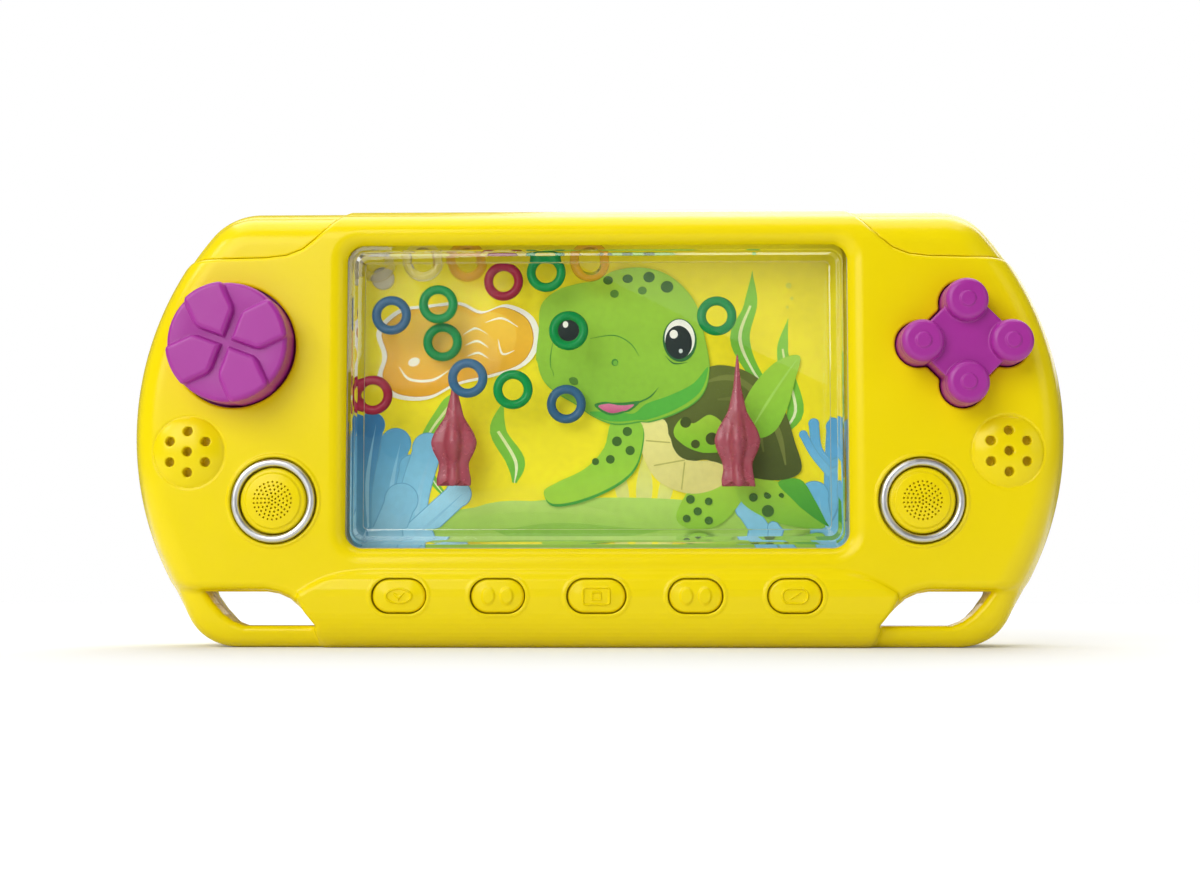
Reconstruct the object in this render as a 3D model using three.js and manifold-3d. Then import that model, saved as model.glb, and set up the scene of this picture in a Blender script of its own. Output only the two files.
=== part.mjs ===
// A handheld water ring-toss toy in the shape of a game console, in millimetres.
// X is to the player's right, +Y goes into the toy away from the player, +Z is up.
// The toy stands on the flat of its long bottom edge. The origin is the centre of its box, at the bottom.
import * as THREE from "three";
import { mergeVertices } from "three/addons/utils/BufferGeometryUtils.js";
import Module from "manifold-3d";

const wasm = await Module();
wasm.setup();

// ---- Driving dimensions -------------------------------------------------------------------
const HALF_WIDTH = 84;
const HEIGHT = 79;
const FACE_Y = -8; // plane of the front face
const BACK_Y = 15; // plane of the back
const PARTING_Y = 4; // where the two casings meet
const WALL = 2;
const GAP = 0.3; // clearance between separate pieces
const EDGE_ROUND = 4.5; // rounding of the casing's front and back edges
const FLANK_RADIUS = 56.7; // large arc of each end
const FLANK_Z = 38.3; // height of the flank arc's centre
const CORNER_RADIUS = 12; // fillet between a flank and the top or bottom edge

const WINDOW = { width: 88, height: 53, z: 44.4, corner: 2.8 };
const LIP = { out: 2.6, deep: 0.9 };
const CHAMBER = { width: 89, bottom: 17.6, top: 73.3, corner: 2.8 }; // taller than the window
const CHAMBER_BACK_Y = 2.4; // inner face of the tank's back wall
const COVER_BACK_Y = -4.5; // inner face of the clear cover
const TANK_WALL = 1.2;
const FLANGE = 1.9; // how far the tank's flanges reach beyond the chamber
const FLANGE_THICK = 1.2;

const PUMP = { x: 64.2, z: 53.2, travelClear: 3.5 };
const DPAD = { radius: 10.6, topY: -15, padRise: 0.8, turn: THREE.MathUtils.degToRad(25) };
const ACTION = { dx: 7.7, dz: 7.2, padRadius: 3.75, padTopY: -14.2, plateTopY: -12.6, plateHalf: 9.7 };
const BUTTON_FLANGE = { grow: 1.3, frontY: -5.7, backY: -4.7 };
const BULB = { radius: 8.4, flange: 10.4, topY: -3.9, baseY: 3.1, wall: 1.1 };
const PUMP_BASE = { radius: 10.8, frontY: 4.6, backY: 6.2, bossRadius: 3.2, bossBackY: 8.6 };
const HOSE_RADIUS = 1.3;
const NOZZLE = { x: 32, y: 0.6 };

const SPEAKER = { x: 71.9, z: 34.4, radius: 6.2, rise: 1.3, holeRing: 3.57, holeRadius: 0.8 };
const THUMB = { x: 56.85, z: 25.8, well: 7.65, ringOut: 7.35, ringIn: 6.15, capRadius: 5.85, topY: -9.2 };
const SPRING = { radius: 3, wire: 0.35, turns: 5, frontY: -4.4, backY: 1.0 };
const KEYS = { count: 5, pitch: 17.25, z: 9.15, width: 9.1, height: 5.7, frontY: -9.1 };
const RAIL = { halfWidth: 50, z0: 2.6, z1: 14.4, rise: 0.6 };

const SHOULDER = { seamZ: 68.9, inset: 0.3 };
const FILLER = { x: -39.6, z: 67, neck: 3.4, bore: 2.4, plugHead: 4.1, opening: 4.6 };
const SCREW = { head: 2.5, shank: 1.2, seatY: 10, tipY: -2 };
const SCREW_PLACES = [
  [49.6, 66],
  [72.5, 20],
  [44.3, 8],
];

// Rings drift in the water: colour, x, depth y, z of each centre.
const RING = { radius: 2.72, wire: 0.83 };
const RINGS = [
  ["ring_blue_1", "blue", -37.3, -1.0, 59.5],
  ["ring_blue_2", "blue", -23.2, -3.2, 47.8],
  ["ring_blue_3", "blue", -5.8, 1.3, 43.3],
  ["ring_green_1", "green", -28.8, -1.0, 61.5],
  ["ring_green_2", "green", -28.3, 1.3, 54.8],
  ["ring_green_3", "green", -9.3, -1.0, 67.3],
  ["ring_green_4", "green", -5.1, -3.2, 56.4],
  ["ring_green_5", "green", -15.1, -3.2, 45.7],
  ["ring_green_6", "green", 21.4, -3.2, 59.0],
  ["ring_red_1", "red", -17.0, -1.0, 65.7],
  ["ring_red_2", "red", -40.2, -3.2, 44.8],
  ["ring_amber_1", "amber", -23.8, 1.3, 69.6],
  ["ring_amber_2", "amber", -1.4, -1.0, 69.2],
  ["ring_clear_1", "clear", -31.3, -3.2, 68.9],
  ["ring_clear_2", "clear", -40.5, 1.3, 69.5],
];

// ---- Materials ----------------------------------------------------------------------------
const finish = (color, roughness, metalness = 0, opacity = 1) =>
  new THREE.MeshStandardMaterial({ color, roughness, metalness, opacity, transparent: opacity < 1 });
const MATERIALS = {
  casing: finish(0xf2dc0f, 0.28),
  button: finish(0xa63298, 0.42),
  bulb: finish(0xe9e4d8, 0.6),
  tank: finish(0xf4f7f6, 0.05, 0, 0.3),
  seal: finish(0xdddacf, 0.7),
  card: finish(0xf0dc1c, 0.6),
  peg: finish(0x9a4650, 0.3),
  plated: finish(0xc9cbcc, 0.2, 1),
  mat: finish(0xcfcabf, 0.7),
  steel: finish(0xb9bbbd, 0.35, 1),
  green: finish(0x00924f, 0.3),
  blue: finish(0x3f6488, 0.3),
  red: finish(0x9a2a3c, 0.3),
  amber: finish(0xf0b030, 0.2, 0, 0.6),
  clear: finish(0xe8dfb4, 0.2, 0, 0.5),
};

// ---- Geometry helpers ---------------------------------------------------------------------
// A closed three.js geometry as a manifold-3d solid.
function solid(geometry) {
  const bare = geometry.clone();
  bare.deleteAttribute("normal");
  bare.deleteAttribute("uv");
  const merged = mergeVertices(bare, 1e-4);
  const index = merged.index.array;
  const triangles = [];
  for (let i = 0; i < index.length; i += 3) {
    const [a, b, c] = index.slice(i, i + 3);
    if (a !== b && b !== c && c !== a) triangles.push(a, b, c);
  }
  return new wasm.Manifold(
    new wasm.Mesh({
      numProp: 3,
      vertProperties: new Float32Array(merged.attributes.position.array),
      triVerts: new Uint32Array(triangles),
    }),
  );
}

// A manifold-3d solid as a three.js geometry.
function geometryOf(made) {
  const mesh = made.getMesh();
  const geometry = new THREE.BufferGeometry();
  geometry.setAttribute("position", new THREE.BufferAttribute(new Float32Array(mesh.vertProperties), 3));
  geometry.setIndex(new THREE.BufferAttribute(new Uint32Array(mesh.triVerts), 1));
  geometry.computeVertexNormals();
  return geometry;
}

const join = (first, ...others) => others.reduce((sum, next) => sum.add(next), first);
const cut = (body, ...tools) => tools.reduce((left, tool) => left.subtract(tool), body);

// A prism of an outline in the XZ plane, from y0 back to y1.
function prism(shape, y0, y1, curveSegments = 6) {
  const geometry = new THREE.ExtrudeGeometry(shape, { depth: y1 - y0, bevelEnabled: false, curveSegments });
  geometry.rotateX(Math.PI / 2).translate(0, y1, 0);
  return solid(geometry);
}

// A round bar along Y.
function bar(x, z, radius, y0, y1, sides = 20) {
  const geometry = new THREE.CylinderGeometry(radius, radius, y1 - y0, sides);
  return solid(geometry.translate(x, (y0 + y1) / 2, z));
}

// A turned piece about a Y axis at (x, z), from a closed outline of [radius, y].
function turned(x, z, profile, sides = 24) {
  const points = profile.map(([r, y]) => new THREE.Vector2(r, y));
  if (THREE.ShapeUtils.area(points) < 0) points.reverse();
  return solid(new THREE.LatheGeometry(points, sides).translate(x, 0, z));
}

const polygon = (points) => new THREE.Shape(points.map(([x, z]) => new THREE.Vector2(x, z)));
const mirrored = (points, side) => (side > 0 ? points : points.map(([x, z]) => [-x, z]).reverse());

// A rectangle with rounded corners, centred at (x, z).
function roundedRectangle(width, height, radius, x = 0, z = 0) {
  const shape = new THREE.Shape();
  const [w, h] = [width / 2 - radius, height / 2 - radius];
  shape.absarc(x + w, z + h, radius, 0, Math.PI / 2);
  shape.absarc(x - w, z + h, radius, Math.PI / 2, Math.PI);
  shape.absarc(x - w, z - h, radius, Math.PI, Math.PI * 1.5);
  shape.absarc(x + w, z - h, radius, Math.PI * 1.5, Math.PI * 2);
  return shape;
}

const arc = (cx, cz, radius, from, to, steps) =>
  Array.from({ length: steps + 1 }, (_, i) => {
    const angle = from + ((to - from) * i) / steps;
    return [cx + radius * Math.cos(angle), cz + radius * Math.sin(angle)];
  });

// The casing's outline, moved inwards by inset: flat top and bottom, and a large arc at each end.
function casingOutline(inset = 0) {
  const flankX = HALF_WIDTH - FLANK_RADIUS;
  const reach = FLANK_RADIUS - CORNER_RADIUS;
  const [lowZ, highZ] = [CORNER_RADIUS, HEIGHT - CORNER_RADIUS];
  const low = Math.asin((lowZ - FLANK_Z) / reach);
  const high = Math.asin((highZ - FLANK_Z) / reach);
  const fillet = CORNER_RADIUS - inset;
  const right = [
    ...arc(flankX + reach * Math.cos(low), lowZ, fillet, -Math.PI / 2, low, 4),
    ...arc(flankX, FLANK_Z, FLANK_RADIUS - inset, low, high, 10).slice(1, -1),
    ...arc(flankX + reach * Math.cos(high), highZ, fillet, high, Math.PI / 2, 4),
  ];
  return [...right, ...right.map(([x, z]) => [-x, z]).reverse()];
}

// A solid through outlines of the same number of points, each [outline, y], from front to back.
function loft(rings) {
  const count = rings[0][0].length;
  const positions = rings.flatMap(([points, y]) => points.flatMap(([x, z]) => [x, y, z]));
  const index = [];
  for (let ring = 0; ring + 1 < rings.length; ring++) {
    for (let i = 0; i < count; i++) {
      const [a, b] = [ring * count + i, ring * count + ((i + 1) % count)];
      index.push(a, a + count, b + count, a, b + count, b);
    }
  }
  const ends = THREE.ShapeUtils.triangulateShape(rings[0][0].map(([x, z]) => new THREE.Vector2(x, z)), []);
  const last = (rings.length - 1) * count;
  ends.forEach(([a, b, c]) => index.push(a, b, c, last + a, last + c, last + b));
  const geometry = new THREE.BufferGeometry();
  geometry.setAttribute("position", new THREE.Float32BufferAttribute(positions, 3));
  geometry.setIndex(index);
  return solid(geometry);
}

// Insets and depths of a rounded edge that starts at plane y and turns in by radius, towards direction.
const roundedEdge = (inset, y, radius, direction) =>
  [0, Math.PI / 6, Math.PI / 3, Math.PI / 2].map((angle) => [
    inset + radius * (1 - Math.cos(angle)),
    y + direction * radius * Math.sin(angle),
  ]);
const casingLoft = (steps) => loft(steps.map(([inset, y]) => [casingOutline(inset), y]));

// ---- Shared shapes ------------------------------------------------------------------------
// A strap hole: level above and below, sloped at the inner end, round at the outer end.
const STRAP_HOLE = [
  [49.4, 3.8],
  [62.2, 3.8],
  [65.4, 5.4],
  [67.8, 7.7],
  [69.3, 9.9],
  [58.3, 9.9],
  [54.4, 8.6],
  [51.8, 6.4],
];
// The corner that the strap hole is in, which is solid and has a lower front.
const STRAP_CORNER = [
  [47.6, -1],
  [90, -1],
  [90, 11.6],
  [58.5, 11.6],
  [53.2, 10],
  [50, 7.2],
];
// The part of the front above a shoulder's S-shaped seam.
const shoulderRegion = (grow) => [
  [90, SHOULDER.seamZ - grow],
  [90, 90],
  [46.9 - grow, 90],
  [46.9 - grow, 79.5],
  [49 - grow, 75.5],
  [51 - grow, 72.8],
  [53.5 - grow, 70.1 - grow],
  [57, SHOULDER.seamZ - grow],
];

const sides = [-1, 1];
const strapHoles = sides.map((side) => prism(polygon(mirrored(STRAP_HOLE, side)), FACE_Y - 2, BACK_Y + 1));
const strapBlocks = sides.map((side) => prism(polygon(mirrored(STRAP_CORNER, side)), FACE_Y - 1, BACK_Y + 1));
const screwPlaces = sides.flatMap((side) => SCREW_PLACES.map(([x, z]) => [side * x, z]));
const keyPlaces = Array.from({ length: KEYS.count }, (_, i) => (i - (KEYS.count - 1) / 2) * KEYS.pitch);

// ---- Casings ------------------------------------------------------------------------------
const frontEdge = roundedEdge(0, FACE_Y + EDGE_ROUND, EDGE_ROUND, -1);
const frontBody = casingLoft([...frontEdge.slice().reverse(), [0, PARTING_Y - GAP / 2]]);
const hollowEdge = roundedEdge(WALL, FACE_Y + EDGE_ROUND, EDGE_ROUND - WALL, -1);
const frontHollow = cut(casingLoft([...hollowEdge.reverse(), [WALL, PARTING_Y + 1]]), ...strapBlocks);

// Outline of the four joined pads of the right-hand button, grown by a clearance.
function actionSolid(grow, y0, y1, padsOnly = false) {
  const pads = [
    [ACTION.dx, 0],
    [-ACTION.dx, 0],
    [0, ACTION.dz],
    [0, -ACTION.dz],
  ].map(([dx, dz]) => bar(PUMP.x + dx, PUMP.z + dz, ACTION.padRadius + grow, y0, y1, 18));
  if (padsOnly) return pads;
  const half = ACTION.plateHalf + grow;
  const plate = polygon([
    [PUMP.x + half, PUMP.z],
    [PUMP.x, PUMP.z + half],
    [PUMP.x - half, PUMP.z],
    [PUMP.x, PUMP.z - half],
  ]);
  return join(prism(plate, y0, y1), ...pads);
}

// A raised dome with seven blind holes, on the face at one side.
function speakerDome(side) {
  const { x, z, radius, rise } = SPEAKER;
  const dome = turned(side * x, z, [
    [0, FACE_Y - rise],
    [radius * 0.5, FACE_Y - rise * 0.78],
    [radius * 0.85, FACE_Y - rise * 0.3],
    [radius, FACE_Y],
    [radius, FACE_Y + 1],
    [0, FACE_Y + 1],
  ], 18);
  return dome;
}
function speakerHoles(side) {
  const { holeRing } = SPEAKER;
  const angles = Array.from({ length: 6 }, (_, i) => Math.PI / 6 + (i * Math.PI) / 3);
  const centres = [[0, 0], ...angles.map((a) => [holeRing * Math.cos(a), holeRing * Math.sin(a)])];
  return centres.map(([dx, dz]) =>
    bar(side * SPEAKER.x + dx, SPEAKER.z + dz, SPEAKER.holeRadius, FACE_Y - 3, FACE_Y + 1, 8),
  );
}

function frontShell() {
  const rail = loft([
    [railOutline(1), FACE_Y - RAIL.rise],
    [railOutline(0), FACE_Y + 1],
  ]);
  const bosses = screwPlaces.map(([x, z]) => bar(x, z, 2.8, FACE_Y + 1, PARTING_Y - GAP / 2, 12));
  const screwBores = screwPlaces.map(([x, z]) => bar(x, z, SCREW.shank + GAP, -3, PARTING_Y + 1, 10));
  const { width, height, z, corner } = WINDOW;
  const windowCut = prism(roundedRectangle(width, height, corner, 0, z), FACE_Y - 1, 0, 3);
  const lip = loft([
    [windowOutline(LIP.out), FACE_Y - 0.02],
    [windowOutline(0), FACE_Y + LIP.deep],
  ]);
  const thumbWells = sides.flatMap((side) => [
    bar(side * THUMB.x, THUMB.z, THUMB.well, FACE_Y - 1, FACE_Y + 1.4, 24),
    bar(side * THUMB.x, THUMB.z, THUMB.capRadius + GAP, FACE_Y - 1, FACE_Y + 3, 24),
  ]);
  const keySlots = keyPlaces.map((x, i) =>
    prism(keyOutline(i, GAP, x), FACE_Y - 2, FACE_Y + 3, 4),
  );
  const shoulderCuts = sides.map((side) =>
    prism(polygon(mirrored(shoulderRegion(GAP), side)), FACE_Y - 1, PARTING_Y + 1),
  );
  const strapSteps = sides.map((side) =>
    prism(polygon(mirrored(STRAP_CORNER, side)), FACE_Y - 2, FACE_Y + 2.2),
  );
  const hollowed = cut(join(frontBody, rail), frontHollow);
  return cut(
    join(hollowed, ...bosses, ...sides.map(speakerDome)),
    ...screwBores,
    windowCut,
    lip,
    bar(-PUMP.x, PUMP.z, DPAD.radius + GAP, FACE_Y - 1, FACE_Y + 3, 28),
    actionSolid(GAP, FACE_Y - 1, FACE_Y + 3),
    ...thumbWells,
    ...keySlots,
    ...sides.flatMap(speakerHoles),
    ...shoulderCuts,
    ...strapSteps,
    ...strapHoles,
  );
}

// The raised rail that holds the keys, as a hexagon with sloped ends.
function railOutline(inset) {
  const { halfWidth, z0, z1 } = RAIL;
  const half = [
    [halfWidth - 2 - inset, z0 + inset],
    [halfWidth - 3.5 - inset, 11 - inset],
    [40.5 - inset, z1 - inset],
  ];
  return [...half, ...half.map(([x, z]) => [-x, z]).reverse()];
}
const windowOutline = (grow) =>
  roundedRectangle(WINDOW.width + 2 * grow, WINDOW.height + 2 * grow, WINDOW.corner + grow, 0, WINDOW.z)
    .extractPoints(3)
    .shape.slice(0, -1)
    .map((p) => [p.x, p.y]);

// The middle key is a little wider than the others.
function keyOutline(i, grow, x) {
  const width = KEYS.width + (i === (KEYS.count - 1) / 2 ? 0.8 : 0) + 2 * grow;
  const height = KEYS.height + 2 * grow;
  return roundedRectangle(width, height, height / 2 - 0.01, x, KEYS.z);
}

function shoulderCap(side) {
  const edge = roundedEdge(SHOULDER.inset, FACE_Y + EDGE_ROUND, EDGE_ROUND - SHOULDER.inset, -1);
  const body = casingLoft([...edge.reverse(), [SHOULDER.inset, PARTING_Y - GAP / 2]]);
  const region = prism(polygon(mirrored(shoulderRegion(0), side)), FACE_Y - 1, PARTING_Y + 1);
  return cut(body.intersect(region), frontHollow);
}

function backShell() {
  const edge = roundedEdge(0, BACK_Y - EDGE_ROUND, EDGE_ROUND, 1);
  const hollowEdge = roundedEdge(WALL, BACK_Y - EDGE_ROUND, EDGE_ROUND - WALL, 1);
  const body = casingLoft([[0, PARTING_Y + GAP / 2], ...edge]);
  const hollow = cut(casingLoft([[WALL, PARTING_Y - 1], ...hollowEdge]), ...strapBlocks);
  const inside = BACK_Y - 1;
  const bosses = screwPlaces.map(([x, z]) => bar(x, z, 4.2, PARTING_Y + GAP / 2, inside, 16));
  const cardPosts = [-30, 30].flatMap((x) => [28, 60].map((z) => bar(x, z, 1.5, 4.6, inside, 8)));
  const springPosts = sides.map((side) => bar(side * THUMB.x, THUMB.z, 3.8, SPRING.backY + GAP, inside, 12));
  const pumpRibs = sides.map((side) =>
    cut(
      bar(side * PUMP.x, PUMP.z, 9, PUMP_BASE.backY + GAP, inside, 20),
      bar(side * PUMP.x, PUMP.z, 7.4, PUMP_BASE.backY, BACK_Y - WALL, 20),
      prism(hoseSlot(side), PUMP_BASE.backY, BACK_Y - WALL),
    ),
  );
  const screwHoles = screwPlaces.flatMap(([x, z]) => [
    bar(x, z, SCREW.head + 0.5, SCREW.seatY, BACK_Y + 1, 16),
    bar(x, z, SCREW.shank + 0.4, PARTING_Y - 1, SCREW.seatY + 1, 10),
  ]);
  return cut(
    join(cut(body, hollow), ...bosses, ...cardPosts, ...springPosts, ...pumpRibs),
    ...screwHoles,
    bar(FILLER.x, FILLER.z, FILLER.opening, BACK_Y - WALL - 1, BACK_Y + 1, 20),
    ...strapHoles,
  );
}

// The gap in a pump's rib that its hose leaves through, downwards.
const hoseSlot = (side) => polygon(mirrored([[56, 40], [68, 40], [68, 50], [56, 50]], side));

// ---- Pumps --------------------------------------------------------------------------------
// The left button: a round cap with four raised arrow pads, and a stem that pushes the bulb.
function leftButton() {
  const { radius, topY, padRise, turn } = DPAD;
  const flange = radius + BUTTON_FLANGE.grow;
  const cap = turned(-PUMP.x, PUMP.z, [
    [0, BUTTON_FLANGE.backY],
    [flange, BUTTON_FLANGE.backY],
    [flange, BUTTON_FLANGE.frontY],
    [radius, BUTTON_FLANGE.frontY],
    [radius, topY + padRise + 0.8],
    [radius - 0.8, topY + padRise],
    [0, topY + padRise],
  ], 28);
  const arrow = [
    [0, 1],
    [3.5, 4.4],
    [3.8, radius - 1.4],
    [0, radius - 0.3],
    [-3.8, radius - 1.4],
    [-3.5, 4.4],
  ].reverse();
  const pads = Array.from({ length: 4 }, (_, i) => {
    const angle = turn + (i * Math.PI) / 2;
    const [c, s] = [Math.cos(angle), Math.sin(angle)];
    const placed = arrow.map(([x, z]) => [x * c - z * s - PUMP.x, x * s + z * c + PUMP.z]);
    return prism(polygon(placed), topY, topY + 2);
  });
  const inside = bar(-PUMP.x, PUMP.z, radius - 1.6, topY + 3, BUTTON_FLANGE.backY + 1, 24);
  const stem = bar(-PUMP.x, PUMP.z, 3, topY + 2, BULB.topY - GAP, 14);
  return join(cut(join(cap, ...pads), inside), stem);
}

// The right button: four round pads on one square plate, with the same stem.
function rightButton() {
  const { padTopY, plateTopY } = ACTION;
  const block = actionSolid(0, plateTopY, BUTTON_FLANGE.backY);
  const pads = actionSolid(0, padTopY, plateTopY + 1, true);
  const flange = actionSolid(BUTTON_FLANGE.grow, BUTTON_FLANGE.frontY, BUTTON_FLANGE.backY);
  const stem = bar(PUMP.x, PUMP.z, 3, plateTopY + 1, BULB.topY - GAP, 14);
  const inside = bar(PUMP.x, PUMP.z, 5.2, plateTopY + 2, BUTTON_FLANGE.backY + 1, 18);
  return join(cut(join(block, ...pads, flange), inside), stem);
}

// A rubber bulb, open at the back, where its flange seals on the pump base.
function bulb(side) {
  const { radius, flange, topY, baseY, wall } = BULB;
  return turned(side * PUMP.x, PUMP.z, [
    [0, topY],
    [radius * 0.5, topY + 0.6],
    [radius * 0.85, topY + 2.2],
    [radius, topY + 4.6],
    [radius, baseY],
    [flange, baseY],
    [flange, baseY + 1.2],
    [radius - wall, baseY + 1.2],
    [radius - wall, topY + 4.8],
    [radius * 0.82 - wall, topY + 3],
    [radius * 0.45, topY + 0.6 + wall],
    [0, topY + wall],
  ], 20);
}

// The round plate that closes a bulb, with an outlet boss for the hose.
function pumpBase(side) {
  const { radius, frontY, backY, bossRadius, bossBackY } = PUMP_BASE;
  return turned(side * PUMP.x, PUMP.z, [
    [HOSE_RADIUS, frontY],
    [radius, frontY],
    [radius, backY],
    [bossRadius, backY],
    [bossRadius, bossBackY],
    [HOSE_RADIUS, bossBackY],
    [HOSE_RADIUS, frontY],
  ], 20);
}

// The hose from a pump's outlet, behind the tank, to the nozzle in the tank's floor.
function hose(side) {
  const route = [
    [PUMP.x, PUMP_BASE.bossBackY + GAP, PUMP.z],
    [PUMP.x - 0.4, 10.8, PUMP.z - 1.6],
    [PUMP.x - 2.6, 11, PUMP.z - 7],
    [50.5, 10.4, 34],
    [45, 9.6, 20],
    [37.5, 6.6, 12.8],
    [NOZZLE.x + 0.6, 2.6, 11.2],
    [NOZZLE.x, NOZZLE.y + 0.1, 12.6],
    [NOZZLE.x, NOZZLE.y, 14.3],
  ].map(([x, y, z]) => new THREE.Vector3(side * x, y, z));
  const section = new THREE.Shape().absarc(0, 0, HOSE_RADIUS, 0, Math.PI * 2);
  return solid(
    new THREE.ExtrudeGeometry(section, {
      extrudePath: new THREE.CatmullRomCurve3(route),
      steps: 22,
      curveSegments: 4,
      bevelEnabled: false,
    }),
  );
}

// ---- Tank ---------------------------------------------------------------------------------
// A plate with the chamber's outline, grown all round.
function tankPlate(grow, y0, y1) {
  const { width, bottom, top, corner } = CHAMBER;
  const outline = roundedRectangle(
    width + 2 * grow,
    top - bottom + 2 * grow,
    corner + grow,
    0,
    (top + bottom) / 2,
  );
  return prism(outline, y0, y1, 3);
}

function tankCover() {
  const raised = loft([
    [windowOutline(-2.3), FACE_Y + 0.9],
    [windowOutline(-1.5), FACE_Y + 1.4],
    [windowOutline(-GAP), FACE_Y + 1.8],
    [windowOutline(-GAP), COVER_BACK_Y - 0.6],
  ]);
  return join(raised, tankPlate(FLANGE, COVER_BACK_Y - FLANGE_THICK, COVER_BACK_Y));
}

const GASKET_Y = [COVER_BACK_Y + GAP, COVER_BACK_Y + GAP + 0.8];
const tankGasket = () =>
  cut(tankPlate(FLANGE - 0.2, ...GASKET_Y), tankPlate(0, GASKET_Y[0] - 1, GASKET_Y[1] + 1));

// The clear tray that holds the water, with a filler neck behind and two nozzles below.
function tankBody() {
  const frontY = GASKET_Y[1] + GAP;
  const backY = CHAMBER_BACK_Y + 1.2;
  const floorZ = CHAMBER.bottom - TANK_WALL;
  const tray = join(tankPlate(TANK_WALL, frontY, backY), tankPlate(FLANGE, frontY, frontY + FLANGE_THICK));
  const upright = (radius, z0, z1, side, segments) =>
    solid(
      new THREE.CylinderGeometry(radius, radius, z1 - z0, segments)
        .rotateX(Math.PI / 2)
        .translate(side * NOZZLE.x, NOZZLE.y, (z0 + z1) / 2),
    );
  const nozzles = sides.map((side) => upright(2.1, 14.6, floorZ + 0.5, side, 12));
  const nozzleBores = sides.map((side) => upright(0.8, 14, floorZ + 3, side, 8));
  const neck = bar(FILLER.x, FILLER.z, FILLER.neck, backY - 0.5, BACK_Y - WALL - 0.5, 16);
  return cut(
    join(tray, ...nozzles, neck),
    tankPlate(0, frontY - 1, CHAMBER_BACK_Y),
    ...nozzleBores,
    bar(FILLER.x, FILLER.z, FILLER.bore, 0, BACK_Y, 14),
  );
}

// The plug: a stem in the neck, a round head in the back casing's opening, and a pull tab.
function fillerPlug() {
  const headY = BACK_Y - WALL - 0.2;
  const stem = turned(FILLER.x, FILLER.z, [
    [0, CHAMBER_BACK_Y + 0.8],
    [FILLER.bore - GAP, CHAMBER_BACK_Y + 0.8],
    [FILLER.bore - GAP, headY],
    [FILLER.plugHead, headY],
    [FILLER.plugHead, headY + 1.1],
    [0, headY + 1.1],
  ], 18);
  const tab = prism(roundedRectangle(4.6, 1.3, 0.6, FILLER.x, FILLER.z), headY + 1, BACK_Y - 0.1, 2);
  return join(stem, tab);
}

const card = () =>
  cut(
    tankPlate(0, CHAMBER_BACK_Y + 1.5, CHAMBER_BACK_Y + 1.9),
    bar(FILLER.x, FILLER.z, FILLER.neck + GAP, 0, BACK_Y, 16),
  );

// A tapered figure that catches rings on its point: a slim snout, a full body and three short feet.
function peg(x, z0, height) {
  const profile = [
    [0, 0],
    [2.9, 0],
    [3.0, 0.1],
    [2.6, 0.19],
    [4.0, 0.3],
    [4.3, 0.37],
    [3.4, 0.5],
    [1.9, 0.64],
    [1.2, 0.8],
    [0.35, 1],
    [0, 1],
  ].map(([r, share]) => new THREE.Vector2(r, share * height));
  const figure = new THREE.LatheGeometry(profile, 14);
  figure.scale(1, 1, 0.6).rotateX(Math.PI / 2).translate(x, -1.1, z0);
  return join(solid(figure), bar(x, z0 + height * 0.34, 1.1, -1, CHAMBER_BACK_Y - GAP, 10));
}

// ---- Small parts --------------------------------------------------------------------------
const thumbRing = (side) =>
  turned(side * THUMB.x, THUMB.z, [
    [THUMB.ringIn, FACE_Y + 1],
    [THUMB.ringIn, -8.5],
    [THUMB.ringIn + 0.35, -8.9],
    [THUMB.ringOut - 0.35, -8.9],
    [THUMB.ringOut, -8.5],
    [THUMB.ringOut, FACE_Y + 1],
    [THUMB.ringIn, FACE_Y + 1],
  ], 28);

const thumbCap = (side) =>
  turned(side * THUMB.x, THUMB.z, [
    [0, THUMB.topY],
    [THUMB.capRadius - 1.4, THUMB.topY + 0.25],
    [THUMB.capRadius, THUMB.topY + 1],
    [THUMB.capRadius, -5.7],
    [THUMB.capRadius + 1.1, -5.7],
    [THUMB.capRadius + 1.1, -4.7],
    [2.1, -4.7],
    [2.1, -1.5],
    [0, -1.5],
  ], 24);

function thumbSpring(side) {
  const { radius, wire, turns, frontY, backY } = SPRING;
  const steps = turns * 10;
  const length = backY - frontY - 2 * wire;
  const route = Array.from({ length: steps + 1 }, (_, i) => {
    const angle = (i / steps) * turns * Math.PI * 2;
    return new THREE.Vector3(
      side * THUMB.x + radius * Math.cos(angle),
      frontY + wire + (length * i) / steps,
      THUMB.z + radius * Math.sin(angle),
    );
  });
  const section = new THREE.Shape().absarc(0, 0, wire, 0, Math.PI * 2);
  const path = new THREE.CatmullRomCurve3(route);
  return solid(
    new THREE.ExtrudeGeometry(section, { extrudePath: path, steps, curveSegments: 3, bevelEnabled: false }),
  );
}

// A key: an oval cap with a wider flange behind the casing's wall.
const key = (i) =>
  join(
    prism(keyOutline(i, 0, keyPlaces[i]), KEYS.frontY, -5.5, 4),
    prism(keyOutline(i, 0.7, keyPlaces[i]), -5.7, -4.7, 4),
  );

// One rubber strip with a low dome behind each key.
function keyMat() {
  const strip = prism(roundedRectangle(79, 7.6, 1, 0, KEYS.z), -3.2, -2.2, 2);
  const domes = keyPlaces.map((x) =>
    turned(x, KEYS.z, [
      [0, -4.4],
      [1.6, -4.4],
      [2.6, -3],
      [0, -3],
    ], 12),
  );
  return join(strip, ...domes);
}

const keyBackplate = () => prism(roundedRectangle(82, 7.2, 1, 0, KEYS.z), -1.9, -0.9, 2);

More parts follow.
